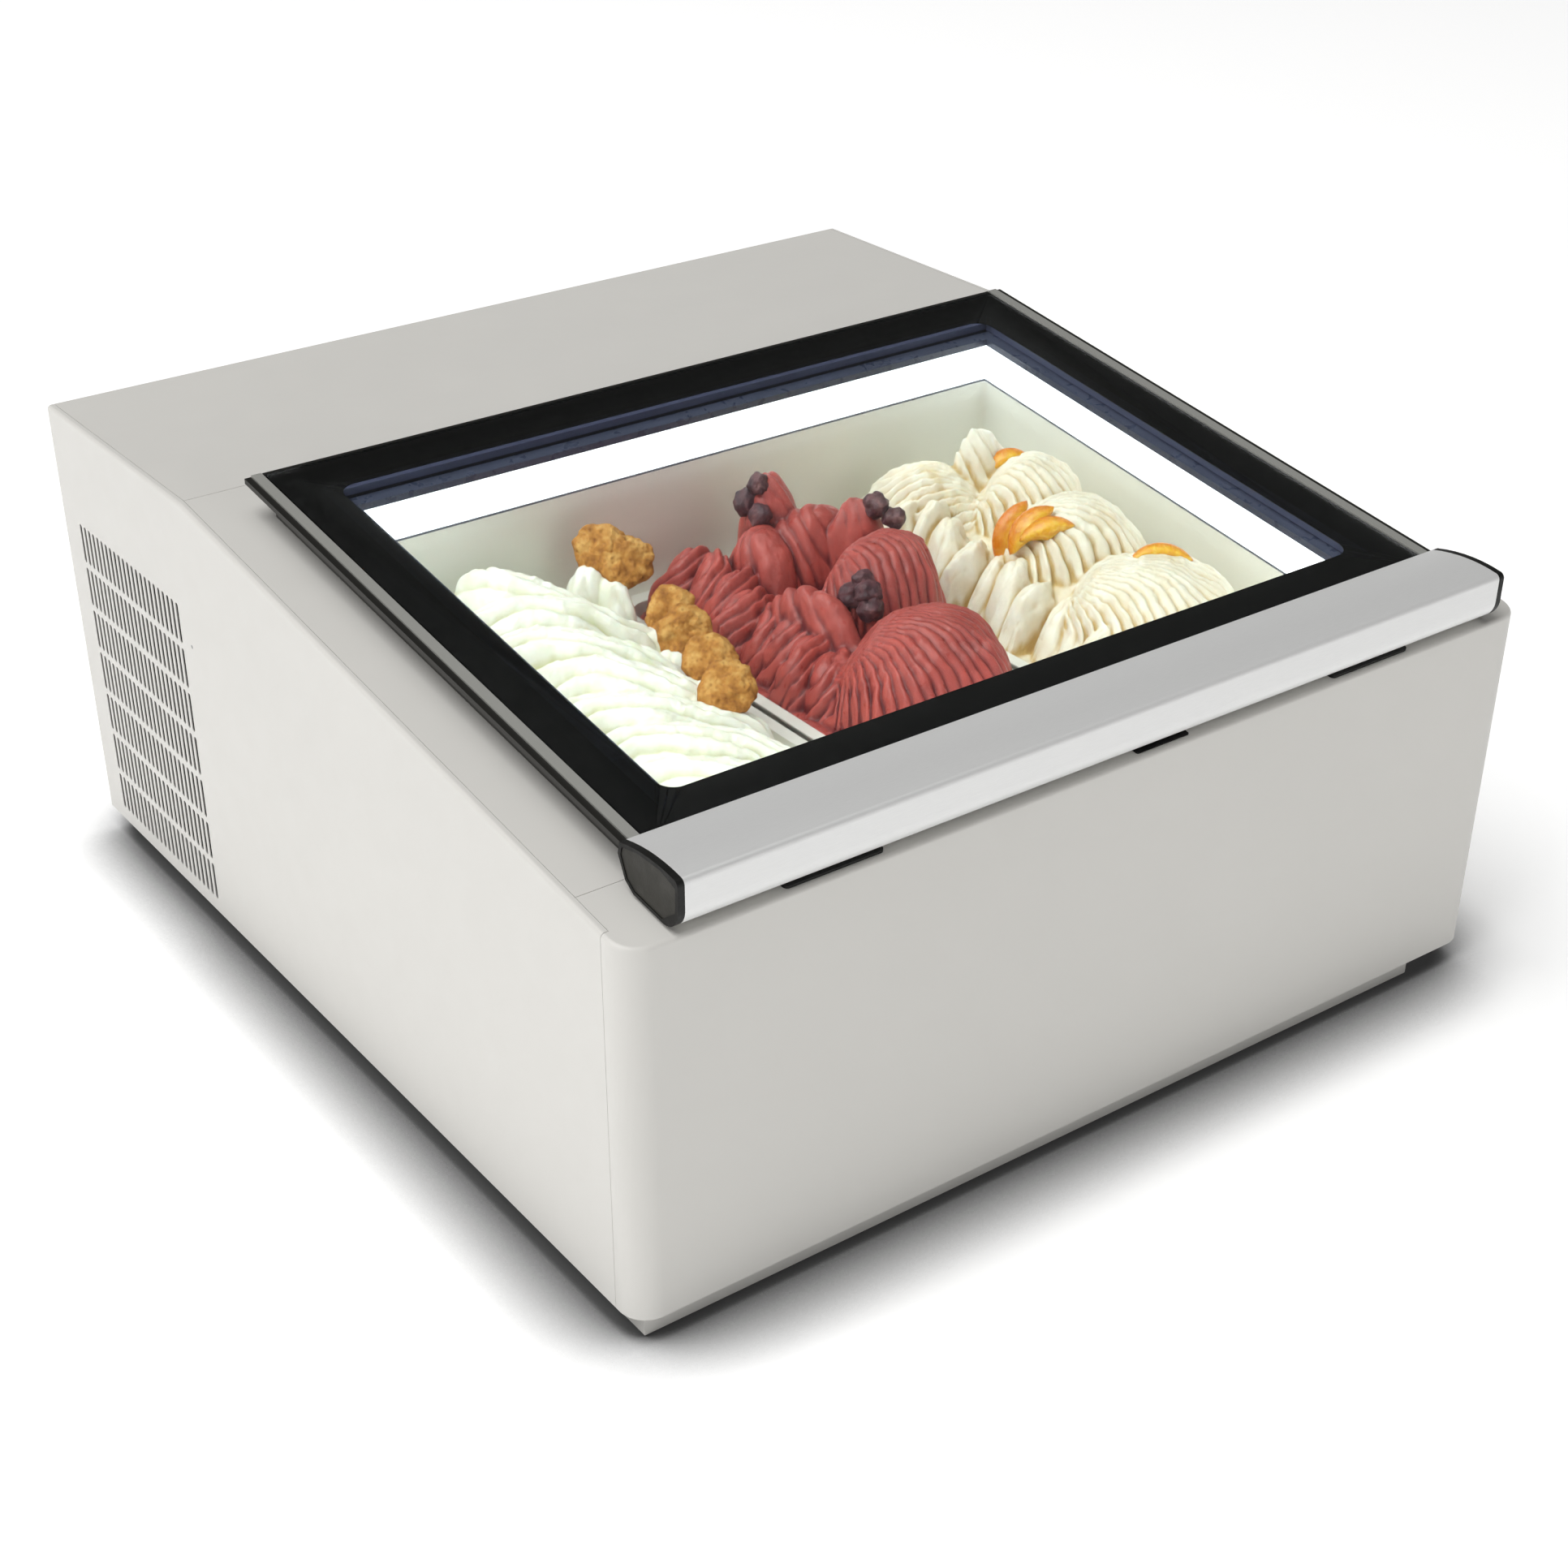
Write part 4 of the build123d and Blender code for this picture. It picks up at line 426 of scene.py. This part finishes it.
def raspberry(X, Y):
    """A tall knob at the back, crumpled pleats down the left, two ridged shells on the right."""
    hollow = np.clip((Y - 6) / 26, 0, 1) * np.clip((6 - X) / 26, 0, 1)
    ground = 214 + 10 * np.clip((-Y - 20) / 60, -1, 1) - 60 * hollow
    layers = [
        ground,
        lobe(X, Y, 10, -110, 60, 170, 0, 254, 205, 0.6),
        lobe(X, Y, -24, -96, 20, 60, 10, 282, 220, 0.8, 6, 4.0, 0, 0.5),
        lobe(X, Y, -20, -172, 16, 46, -12, 276, 216, 0.8, 4, 3.5, 0, 0.4),
        lobe(X, Y, 34, -16, 32, 46, 56, 299, 224, 0.5, 6, 2.6, 0, 0.5),
        lobe(X, Y, 0, -8, 26, 40, -14, 288, 222, 0.6, 6, 3.0, 0, 0.5),
        lobe(X, Y, 21, 15, 25, 24, 80, 315, 228, 0.4, 5, 2.2, 0, 0.5),
        lobe(X, Y, 53, -44, 20, 24, 30, 308, 228, 0.42, 5, 2.0, 0, 0.4),
        lobe(X, Y, 35, -94, 43, 56, -68, 304, 222, 0.38, 15, 2.2, 1.05, 0.12),
        lobe(X, Y, -5, -192, 58, 66, -58, 296, 214, 0.38, 17, 2.6, 1.05, 0.05),
    ]
    for i in range(12):
        y, wide = 28 - 24 * i, 21 + 3 * (i % 3)
        x, turn = -40 + 4 * (7 * i % 3), 190 + 13 * (5 * i % 3)
        top = 270 - 2.5 * i + 2 * (3 * i % 4)
        layers.append(lobe(X, Y, x, y, 40, wide, turn, top, 212, 0.6, 4, 4.0, 0, 0.7, -7, 0.2, 4))
    return highest(*layers)


def cream(X, Y):
    """A peak at the back over a ribbed fan, three broad shells on the right, drapes on the left."""
    ground = 216 + 6 * np.clip((-Y) / 80, -1, 1)
    layers = [
        ground,
        lobe(X, Y, 176, -105, 66, 175, 0, 264, 205, 0.5),
        lobe(X, Y, 160, 6, 52, 42, 128, 290, 216, 0.4, 11, 3.2, 1.05, 0.1, 0, 0.35),
        lobe(X, Y, 192, -8, 22, 26, 60, 315, 236, 0.6, 5, 2.4, 0, 0.5, 0, 0.3),
        lobe(X, Y, 203, -50, 42, 50, -52, 305, 224, 0.36, 11, 1.6, 1.05, 0.1, 0, 0.25),
        lobe(X, Y, 188, -114, 54, 54, -48, 298, 220, 0.36, 13, 1.6, 1.05, 0.1, 0, 0.25),
        lobe(X, Y, 180, -200, 62, 66, -60, 285, 212, 0.36, 17, 0.8, 1.05, 0.05, 0, 0.2),
    ]
    for i in range(12):
        y, wide = -6 - 23 * i, 14 + 3 * (i % 3)
        x, turn = 124 + 4 * (5 * i % 3), 190 + 14 * (7 * i % 3)
        top = 276 - 3 * i + 3 * (3 * i % 4)
        layers.append(lobe(X, Y, x, y, 36, wide, turn, top, 210, 0.7, 3, 3.0, 0, 0.4, -6))
    return highest(*layers)


# centre, lean and spin of each cookie; the heap swells under them
COOKIES = ((-107, 32, 286, -58, 40), (-96, 16, 281, -52, 62), (-104, -47, 269, -56, 20),
           (-111, -75, 267, -60, 50), (-121, -116, 266, -54, 40), (-131, -150, 265, -50, 56))


def pistachio(X, Y):
    """Long flat strokes laid like roof tiles, combed slantwise across the pan."""
    ground = 214 + 4 * np.clip(-Y / 80, -1, 1)
    layers = [ground, lobe(X, Y, -174, -105, 56, 180, 0, 250, 205, 0.5)]
    for i in range(8):
        y, top = 34 - 42 * i, 287 - 5 * i
        x, turn = -176 + 6 * (i % 2), -54 + 8 * (5 * i % 3)
        layers.append(lobe(X, Y, x, y, 76, 33, turn, top, 212, 0.34, 5 + i % 3, 4.5, 0, 0.12, -7,
                           0.3, -10))
    for x, y, z, _, _ in COOKIES:
        layers.append(lobe(X, Y, x - 11, y - 2, 21, 24, 30, z - 7, 216, 0.45, 3, 2.0, 0, 0.4))
    return highest(*layers)


def gelato(name, base, deep, tint, streak, seed):
    """Soft serve that shines a little, with the deep colour mixed into its grooves as painted
    shade, and streaks of a second flavour.
    """
    m = Mat(name, base, 0.42, Specular_IOR_Level=0.4)
    m.bsdf.inputs["Subsurface Weight"].default_value = 0.25
    m.bsdf.inputs["Subsurface Radius"].default_value = (1.0, 0.6, 0.4)
    m.bsdf.inputs["Subsurface Scale"].default_value = 0.004
    groove_shade_mask = m.node("ShaderNodeAttribute", attribute_name="groove_shade_mask").outputs["Fac"]
    # painted shade: the deeper a point lies below its surroundings, the more its colour turns to
    # the deep colour
    depth = m.spread(groove_shade_mask, 0, 1, -0.1, 0.9)
    halfway = tuple(0.6 * a + 0.4 * b for a, b in zip(base, deep))
    body = m.mix(m.spread(m.noise(60, 4), 0, 1), base, halfway)
    body = m.mix(depth, body, deep)
    ripple = m.noise(34 + seed, 4, stretch=(1.0, 0.35, 0.8), distortion=0.6)
    body = m.mix(m.spread(ripple, 0, streak, 0.6, 0.78), body, tint)
    m.color(body)
    m.rough(m.noise(180, 3), 0.24, 0.46)
    m.bump((m.noise(420, 3), 0.00035), (m.noise(1500, 2), 0.00012))
    return m.mat


# the second colour of each flavour is the painted shade in its grooves
PISTACHIO = gelato("gelato_pistachio", lin(247, 246, 238), lin(204, 202, 158),
                   lin(186, 198, 106), 0.6, 1)
RASPBERRY = gelato("gelato_berry", lin(184, 84, 76), lin(98, 30, 34), lin(140, 46, 50), 0.6, 2)
CREAM = gelato("gelato_cream", lin(249, 245, 230), lin(200, 168, 108), lin(220, 190, 122), 0.65, 3)
# shape, material, noise seed and roughness of the surface in millimetres
GELATO = {
    "left": (pistachio, PISTACHIO, 3, 1.2),
    "middle": (raspberry, RASPBERRY, 17, 0.9),
    "right": (cream, CREAM, 29, 1.4),
}
SCULPTS = {pan: fill_pan(pan, *parts) for pan, parts in GELATO.items()}


# ------------------------------------------------------------------ toppings
def lump(name, place, radii, turn, mat, bumps, seed, parts=5, dent=0.0):
    """Rounded lump with a rough surface; bumps lists (size, depth) pairs in millimetres."""
    bm = bmesh.new()
    bmesh.ops.create_icosphere(bm, subdivisions=parts, radius=1)
    for v in bm.verts:
        d = v.co.normalized()
        p = Vector((d.x * radii[0], d.y * radii[1], d.z * radii[2]))
        flat = 1 - dent * max(0, d.z) ** 4
        p.z *= flat
        shift = Vector((seed, seed * 2.1, seed * 0.7))
        push = sum(depth * noise.noise(p / size + shift) for size, depth in bumps)
        v.co = (p + d * push) * MM
    mesh = bpy.data.meshes.new(name)
    bm.to_mesh(mesh)
    bm.free()
    mesh.shade_smooth()
    mesh.materials.append(mat)
    piece = bpy.data.objects.new(name, mesh)
    bpy.context.scene.collection.objects.link(piece)
    piece.matrix_world = Matrix.Translation(Vector(place) * MM) @ turn.to_matrix().to_4x4()
    return piece


def tilt(x, y, z):
    return Euler([math.radians(v) for v in (x, y, z)])


TO_CAMERA = Vector((-0.485, -0.695, 0.53)).normalized()


def on_gelato(pan, x, y, z, lift):
    """Where the sight line through x, y, z meets the gelato, raised by lift towards the camera."""
    start = Vector((x, y, z)) * MM + TO_CAMERA * 0.1
    found, spot, _, _ = SCULPTS[pan].ray_cast(start, -TO_CAMERA)
    spot = spot / MM if found else Vector((x, y, z))
    return spot + TO_CAMERA * lift


def cookie_material():
    m = Mat("cookie", lin(196, 142, 66), 0.75, Specular_IOR_Level=0.25)
    tones = ((0.3, lin(132, 78, 30)), (0.5, lin(184, 126, 58)), (0.72, lin(212, 166, 96)))
    baked = m.ramp(m.noise(110, 4), tones)
    m.color(m.mix(m.spread(m.voronoi(260), 0.7, 0.0, 0.0, 0.35), baked, lin(140, 84, 34)))
    m.rough(m.noise(200), 0.62, 0.85)
    m.bump((m.voronoi(300), 0.0008), (m.noise(700, 4), 0.0004))
    return m.mat


def berry_material():
    m = Mat("fruit_berry", lin(72, 44, 52), 0.5, Specular_IOR_Level=0.45)
    tones = ((0.3, lin(52, 30, 40)), (0.55, lin(88, 52, 58)), (0.75, lin(138, 96, 98)))
    m.color(m.ramp(m.noise(130, 4), tones))
    m.rough(m.noise(200), 0.35, 0.65)
    m.bump((m.voronoi(420), 0.0004), (m.noise(900, 3), 0.0002))
    return m.mat


def peel_material():
    """Candied orange: deep rind at the rim, amber flesh inside."""
    m = Mat("fruit_peel", lin(232, 150, 24), 0.25, Specular_IOR_Level=0.6)
    m.bsdf.inputs["Subsurface Weight"].default_value = 0.3
    m.bsdf.inputs["Subsurface Radius"].default_value = (1.0, 0.5, 0.1)
    m.bsdf.inputs["Subsurface Scale"].default_value = 0.003
    rind = m.node("ShaderNodeAttribute", attribute_name="rind").outputs["Fac"]
    tones = ((0.3, lin(226, 146, 24)), (0.55, lin(242, 186, 48)), (0.8, lin(250, 220, 110)))
    flesh = m.ramp(m.noise(160, 3, stretch=(1, 1, 3)), tones)
    m.color(m.mix(m.spread(rind, 0, 0.8, 0.55, 0.95), flesh, lin(218, 112, 12)))
    m.rough(m.noise(200), 0.15, 0.4)
    m.bump((m.noise(300, 3), 0.0004))
    return m.mat


COOKIE = cookie_material()
COOKIE_RADII = (18.5, 18.5, 8)
COOKIE_BUMPS = ((11, 2.4), (5, 1.9), (2, 0.6))
cookie_pieces = []
for i, (x, y, z, lean, spin) in enumerate(COOKIES):
    cookie_pieces.append(lump(f"cookie_{i + 1}", (x, y, z), COOKIE_RADII, tilt(0, lean, spin),
                              COOKIE, COOKIE_BUMPS, 3.7 * i + 1, dent=0.25))
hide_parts("cookies")

BERRY = berry_material()
BERRY_BUMPS = ((5, 2.2), (2, 0.8))
berry_pieces = []
BERRIES = ((4, 16, 299, 10), (7, 6, 290, 9), (15, 19, 307, 8), (60, -54, 305, 9), (66, -66, 299, 8),
           (-14, -126, 290, 9), (-4, -128, 288, 10), (-10, -140, 284, 9), (0, -118, 290, 8))
for i, (x, y, z, size) in enumerate(BERRIES):
    spot = on_gelato("middle", x, y, z, 0.15 * size)
    berry_pieces.append(lump(f"berry_{i + 1}", spot, (size, size * 0.9, size),
                             tilt(20 * i, 35 * i, 50 * i), BERRY, BERRY_BUMPS,
                             2.3 * i + 5, parts=4))
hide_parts("fruit_pieces")


def peel(name, place, turn, length, width, arc, mat):
    """Curved slice of candied orange: a segment of a ring with a puffed flesh side."""
    around, across = 40, 14
    verts, rind = [], []
    for i in range(around):
        t = i / (around - 1)
        a = math.radians(arc) * (t - 0.5)
        taper = math.sin(math.pi * min(1, max(0, t * 0.96 + 0.02))) ** 0.55
        for j in range(across):
            b = 2 * math.pi * j / across
            inward = 0.5 - 0.5 * math.cos(b)
            radius = length - width * taper * inward
            thick = 0.4 * width * taper * math.sin(b) * (0.7 + 0.5 * inward)
            y = radius * math.cos(a) - length + width / 2
            verts.append(((radius * math.sin(a)) * MM, y * MM, thick * MM))
            rind.append(1 - inward)
    faces = []
    for i in range(around - 1):
        for j in range(across):
            k = (j + 1) % across
            row, after = i * across, (i + 1) * across
            faces.append((row + j, row + k, after + k, after + j))
    faces += [tuple(range(across))[::-1], tuple((around - 1) * across + j for j in range(across))]
    mesh = bpy.data.meshes.new(name)
    mesh.from_pydata(verts, [], faces)
    attribute = mesh.attributes.new("rind", "FLOAT", "POINT")
    attribute.data.foreach_set("value", np.array(rind, np.float32))
    bm = bmesh.new()
    bm.from_mesh(mesh)
    bmesh.ops.recalc_face_normals(bm, faces=bm.faces)
    bm.to_mesh(mesh)
    bm.free()
    mesh.shade_smooth()
    mesh.materials.append(mat)
    piece = bpy.data.objects.new(name, mesh)
    bpy.context.scene.collection.objects.link(piece)
    piece.matrix_world = Matrix.Translation(Vector(place) * MM) @ turn.to_matrix().to_4x4()
    return piece


PEEL = peel_material()
peel_pieces = [
    peel("peel_1", on_gelato("right", 191, -37, 305, 4), tilt(48, -20, -20), 17, 15, 150, PEEL),
    peel("peel_2", on_gelato("right", 130, -116, 295, 5), tilt(58, -62, 10), 27, 22, 130, PEEL),
    peel("peel_3", on_gelato("right", 138, -124, 297, 7), tilt(50, -40, -8), 25, 20, 125, PEEL),
    peel("peel_4", on_gelato("right", 146, -132, 296, 5), tilt(46, -14, -30), 22, 17, 125, PEEL),
    peel("peel_5", on_gelato("right", 200, -182, 280, 4), tilt(38, 0, -32), 24, 12, 130, PEEL),
]
for piece in cookie_pieces + berry_pieces + peel_pieces:
    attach(piece, "cabinet")

# ------------------------------------------------------------------ stage
REACH = 9  # half the floor's width in metres
PAPER_GLOW = 0.26
SHADOW_REACH = 0.085
corners = [(-REACH, -REACH, 0), (REACH, -REACH, 0), (REACH, REACH, 0), (-REACH, REACH, 0)]
floor_mesh = bpy.data.meshes.new("floor")
floor_mesh.from_pydata(corners, [], [(0, 1, 2, 3)])
floor = bpy.data.objects.new("floor", floor_mesh)
bpy.context.scene.collection.objects.link(floor)
paper = Mat("floor_paper", (0.86, 0.86, 0.86, 1), 0.9, Specular_IOR_Level=0.1)
paper.bsdf.inputs["Emission Color"].default_value = (1, 1, 1, 1)
paper.bsdf.inputs["Emission Strength"].default_value = PAPER_GLOW
contact_shadow_ao = paper.node("ShaderNodeAmbientOcclusion", samples=16)
contact_shadow_ao.inputs["Distance"].default_value = SHADOW_REACH
# painted contact shadow: the paper's colour and glow turn grey where the cabinet stands close above
# it
contact_shadow_greys = ((0.45, 0.07), (0.7, 0.45), (0.93, 1.0))
shade = paper.ramp(contact_shadow_ao.outputs["AO"], [(at, (level, level, level, 1)) for at, level in contact_shadow_greys])
paper.link(shade, paper.bsdf.inputs["Emission Color"])
paper.color(shade)
paper.bump((paper.noise(200, 2), 0.00005))
floor_mesh.materials.append(paper.mat)

world = bpy.data.worlds.new("studio")
bpy.context.scene.world = world
world.use_nodes = True
sky = world.node_tree
background = sky.nodes["Background"]
path = sky.nodes.new("ShaderNodeLightPath")
coords = sky.nodes.new("ShaderNodeTexCoord")
split = sky.nodes.new("ShaderNodeSeparateXYZ")
ramp = sky.nodes.new("ShaderNodeValToRGB")
sky.links.new(coords.outputs["Generated"], split.inputs[0])
sky.links.new(split.outputs["Z"], ramp.inputs["Fac"])
stops = ((0.0, 0.7), (0.2, 0.35), (0.42, 0.04), (0.84, 0.012), (0.95, 0.9), (1.0, 1.5))
while len(ramp.color_ramp.elements) < len(stops):
    ramp.color_ramp.elements.new(0.5)
for element, (position, level) in zip(ramp.color_ramp.elements, stops):
    element.position, element.color = position, (level, level, level * 0.99, 1)
sky.links.new(ramp.outputs["Color"], background.inputs["Color"])
white = sky.nodes.new("ShaderNodeBackground")
white.inputs["Color"].default_value = (1, 1, 1, 1)
chooser = sky.nodes.new("ShaderNodeMixShader")
sky.links.new(path.outputs["Is Camera Ray"], chooser.inputs[0])
sky.links.new(background.outputs[0], chooser.inputs[1])
sky.links.new(white.outputs[0], chooser.inputs[2])
sky.links.new(chooser.outputs[0], sky.nodes["World Output"].inputs["Surface"])
background.inputs["Strength"].default_value = 1.0


def softbox(name, position, aim, size, watts):
    data = bpy.data.lights.new(name, "AREA")
    data.shape, data.size, data.size_y = "RECTANGLE", *size
    data.energy = watts
    obj = bpy.data.objects.new(name, data)
    obj.location = position
    obj.rotation_euler = (Vector(aim) - Vector(position)).to_track_quat("-Z", "Y").to_euler()
    bpy.context.scene.collection.objects.link(obj)


MIDDLE = (0, 0, 0.2)
softbox("key", (-4.8, 0.6, 9.0), MIDDLE, (7.8, 7.8), 840)
softbox("side_fill", (-9.0, -1.8, 3.6), MIDDLE, (4.8, 4.8), 30)
softbox("front_fill", (1.2, -9.6, 3.0), MIDDLE, (5.4, 3.6), 80)

# ------------------------------------------------------------------ camera
AZIMUTH, ELEVATION, ROLL = (math.radians(v) for v in (-34.871, 32.041, -0.612))
AIM = Vector((0.017386, 0.068142, -0.050276))
DISTANCE = 1.90999
flat = math.cos(ELEVATION)
back = Vector((math.sin(AZIMUTH) * flat, -math.cos(AZIMUTH) * flat, math.sin(ELEVATION)))
right = Vector((0, 0, 1)).cross(back).normalized()
up = back.cross(right)
rolled_right = math.cos(ROLL) * right + math.sin(ROLL) * up
rolled_up = -math.sin(ROLL) * right + math.cos(ROLL) * up
camera_data = bpy.data.cameras.new("camera")
camera_data.lens, camera_data.sensor_width = 56.33, 36
camera_data.shift_x, camera_data.shift_y = 0.0380, 0.0735
camera = bpy.data.objects.new("camera", camera_data)
bpy.context.scene.collection.objects.link(camera)
turn = Matrix((rolled_right, rolled_up, back)).transposed().to_4x4()
camera.matrix_world = Matrix.Translation(AIM + back * DISTANCE) @ turn
bpy.context.scene.camera = camera
bpy.context.scene.view_settings.view_transform = "Standard"
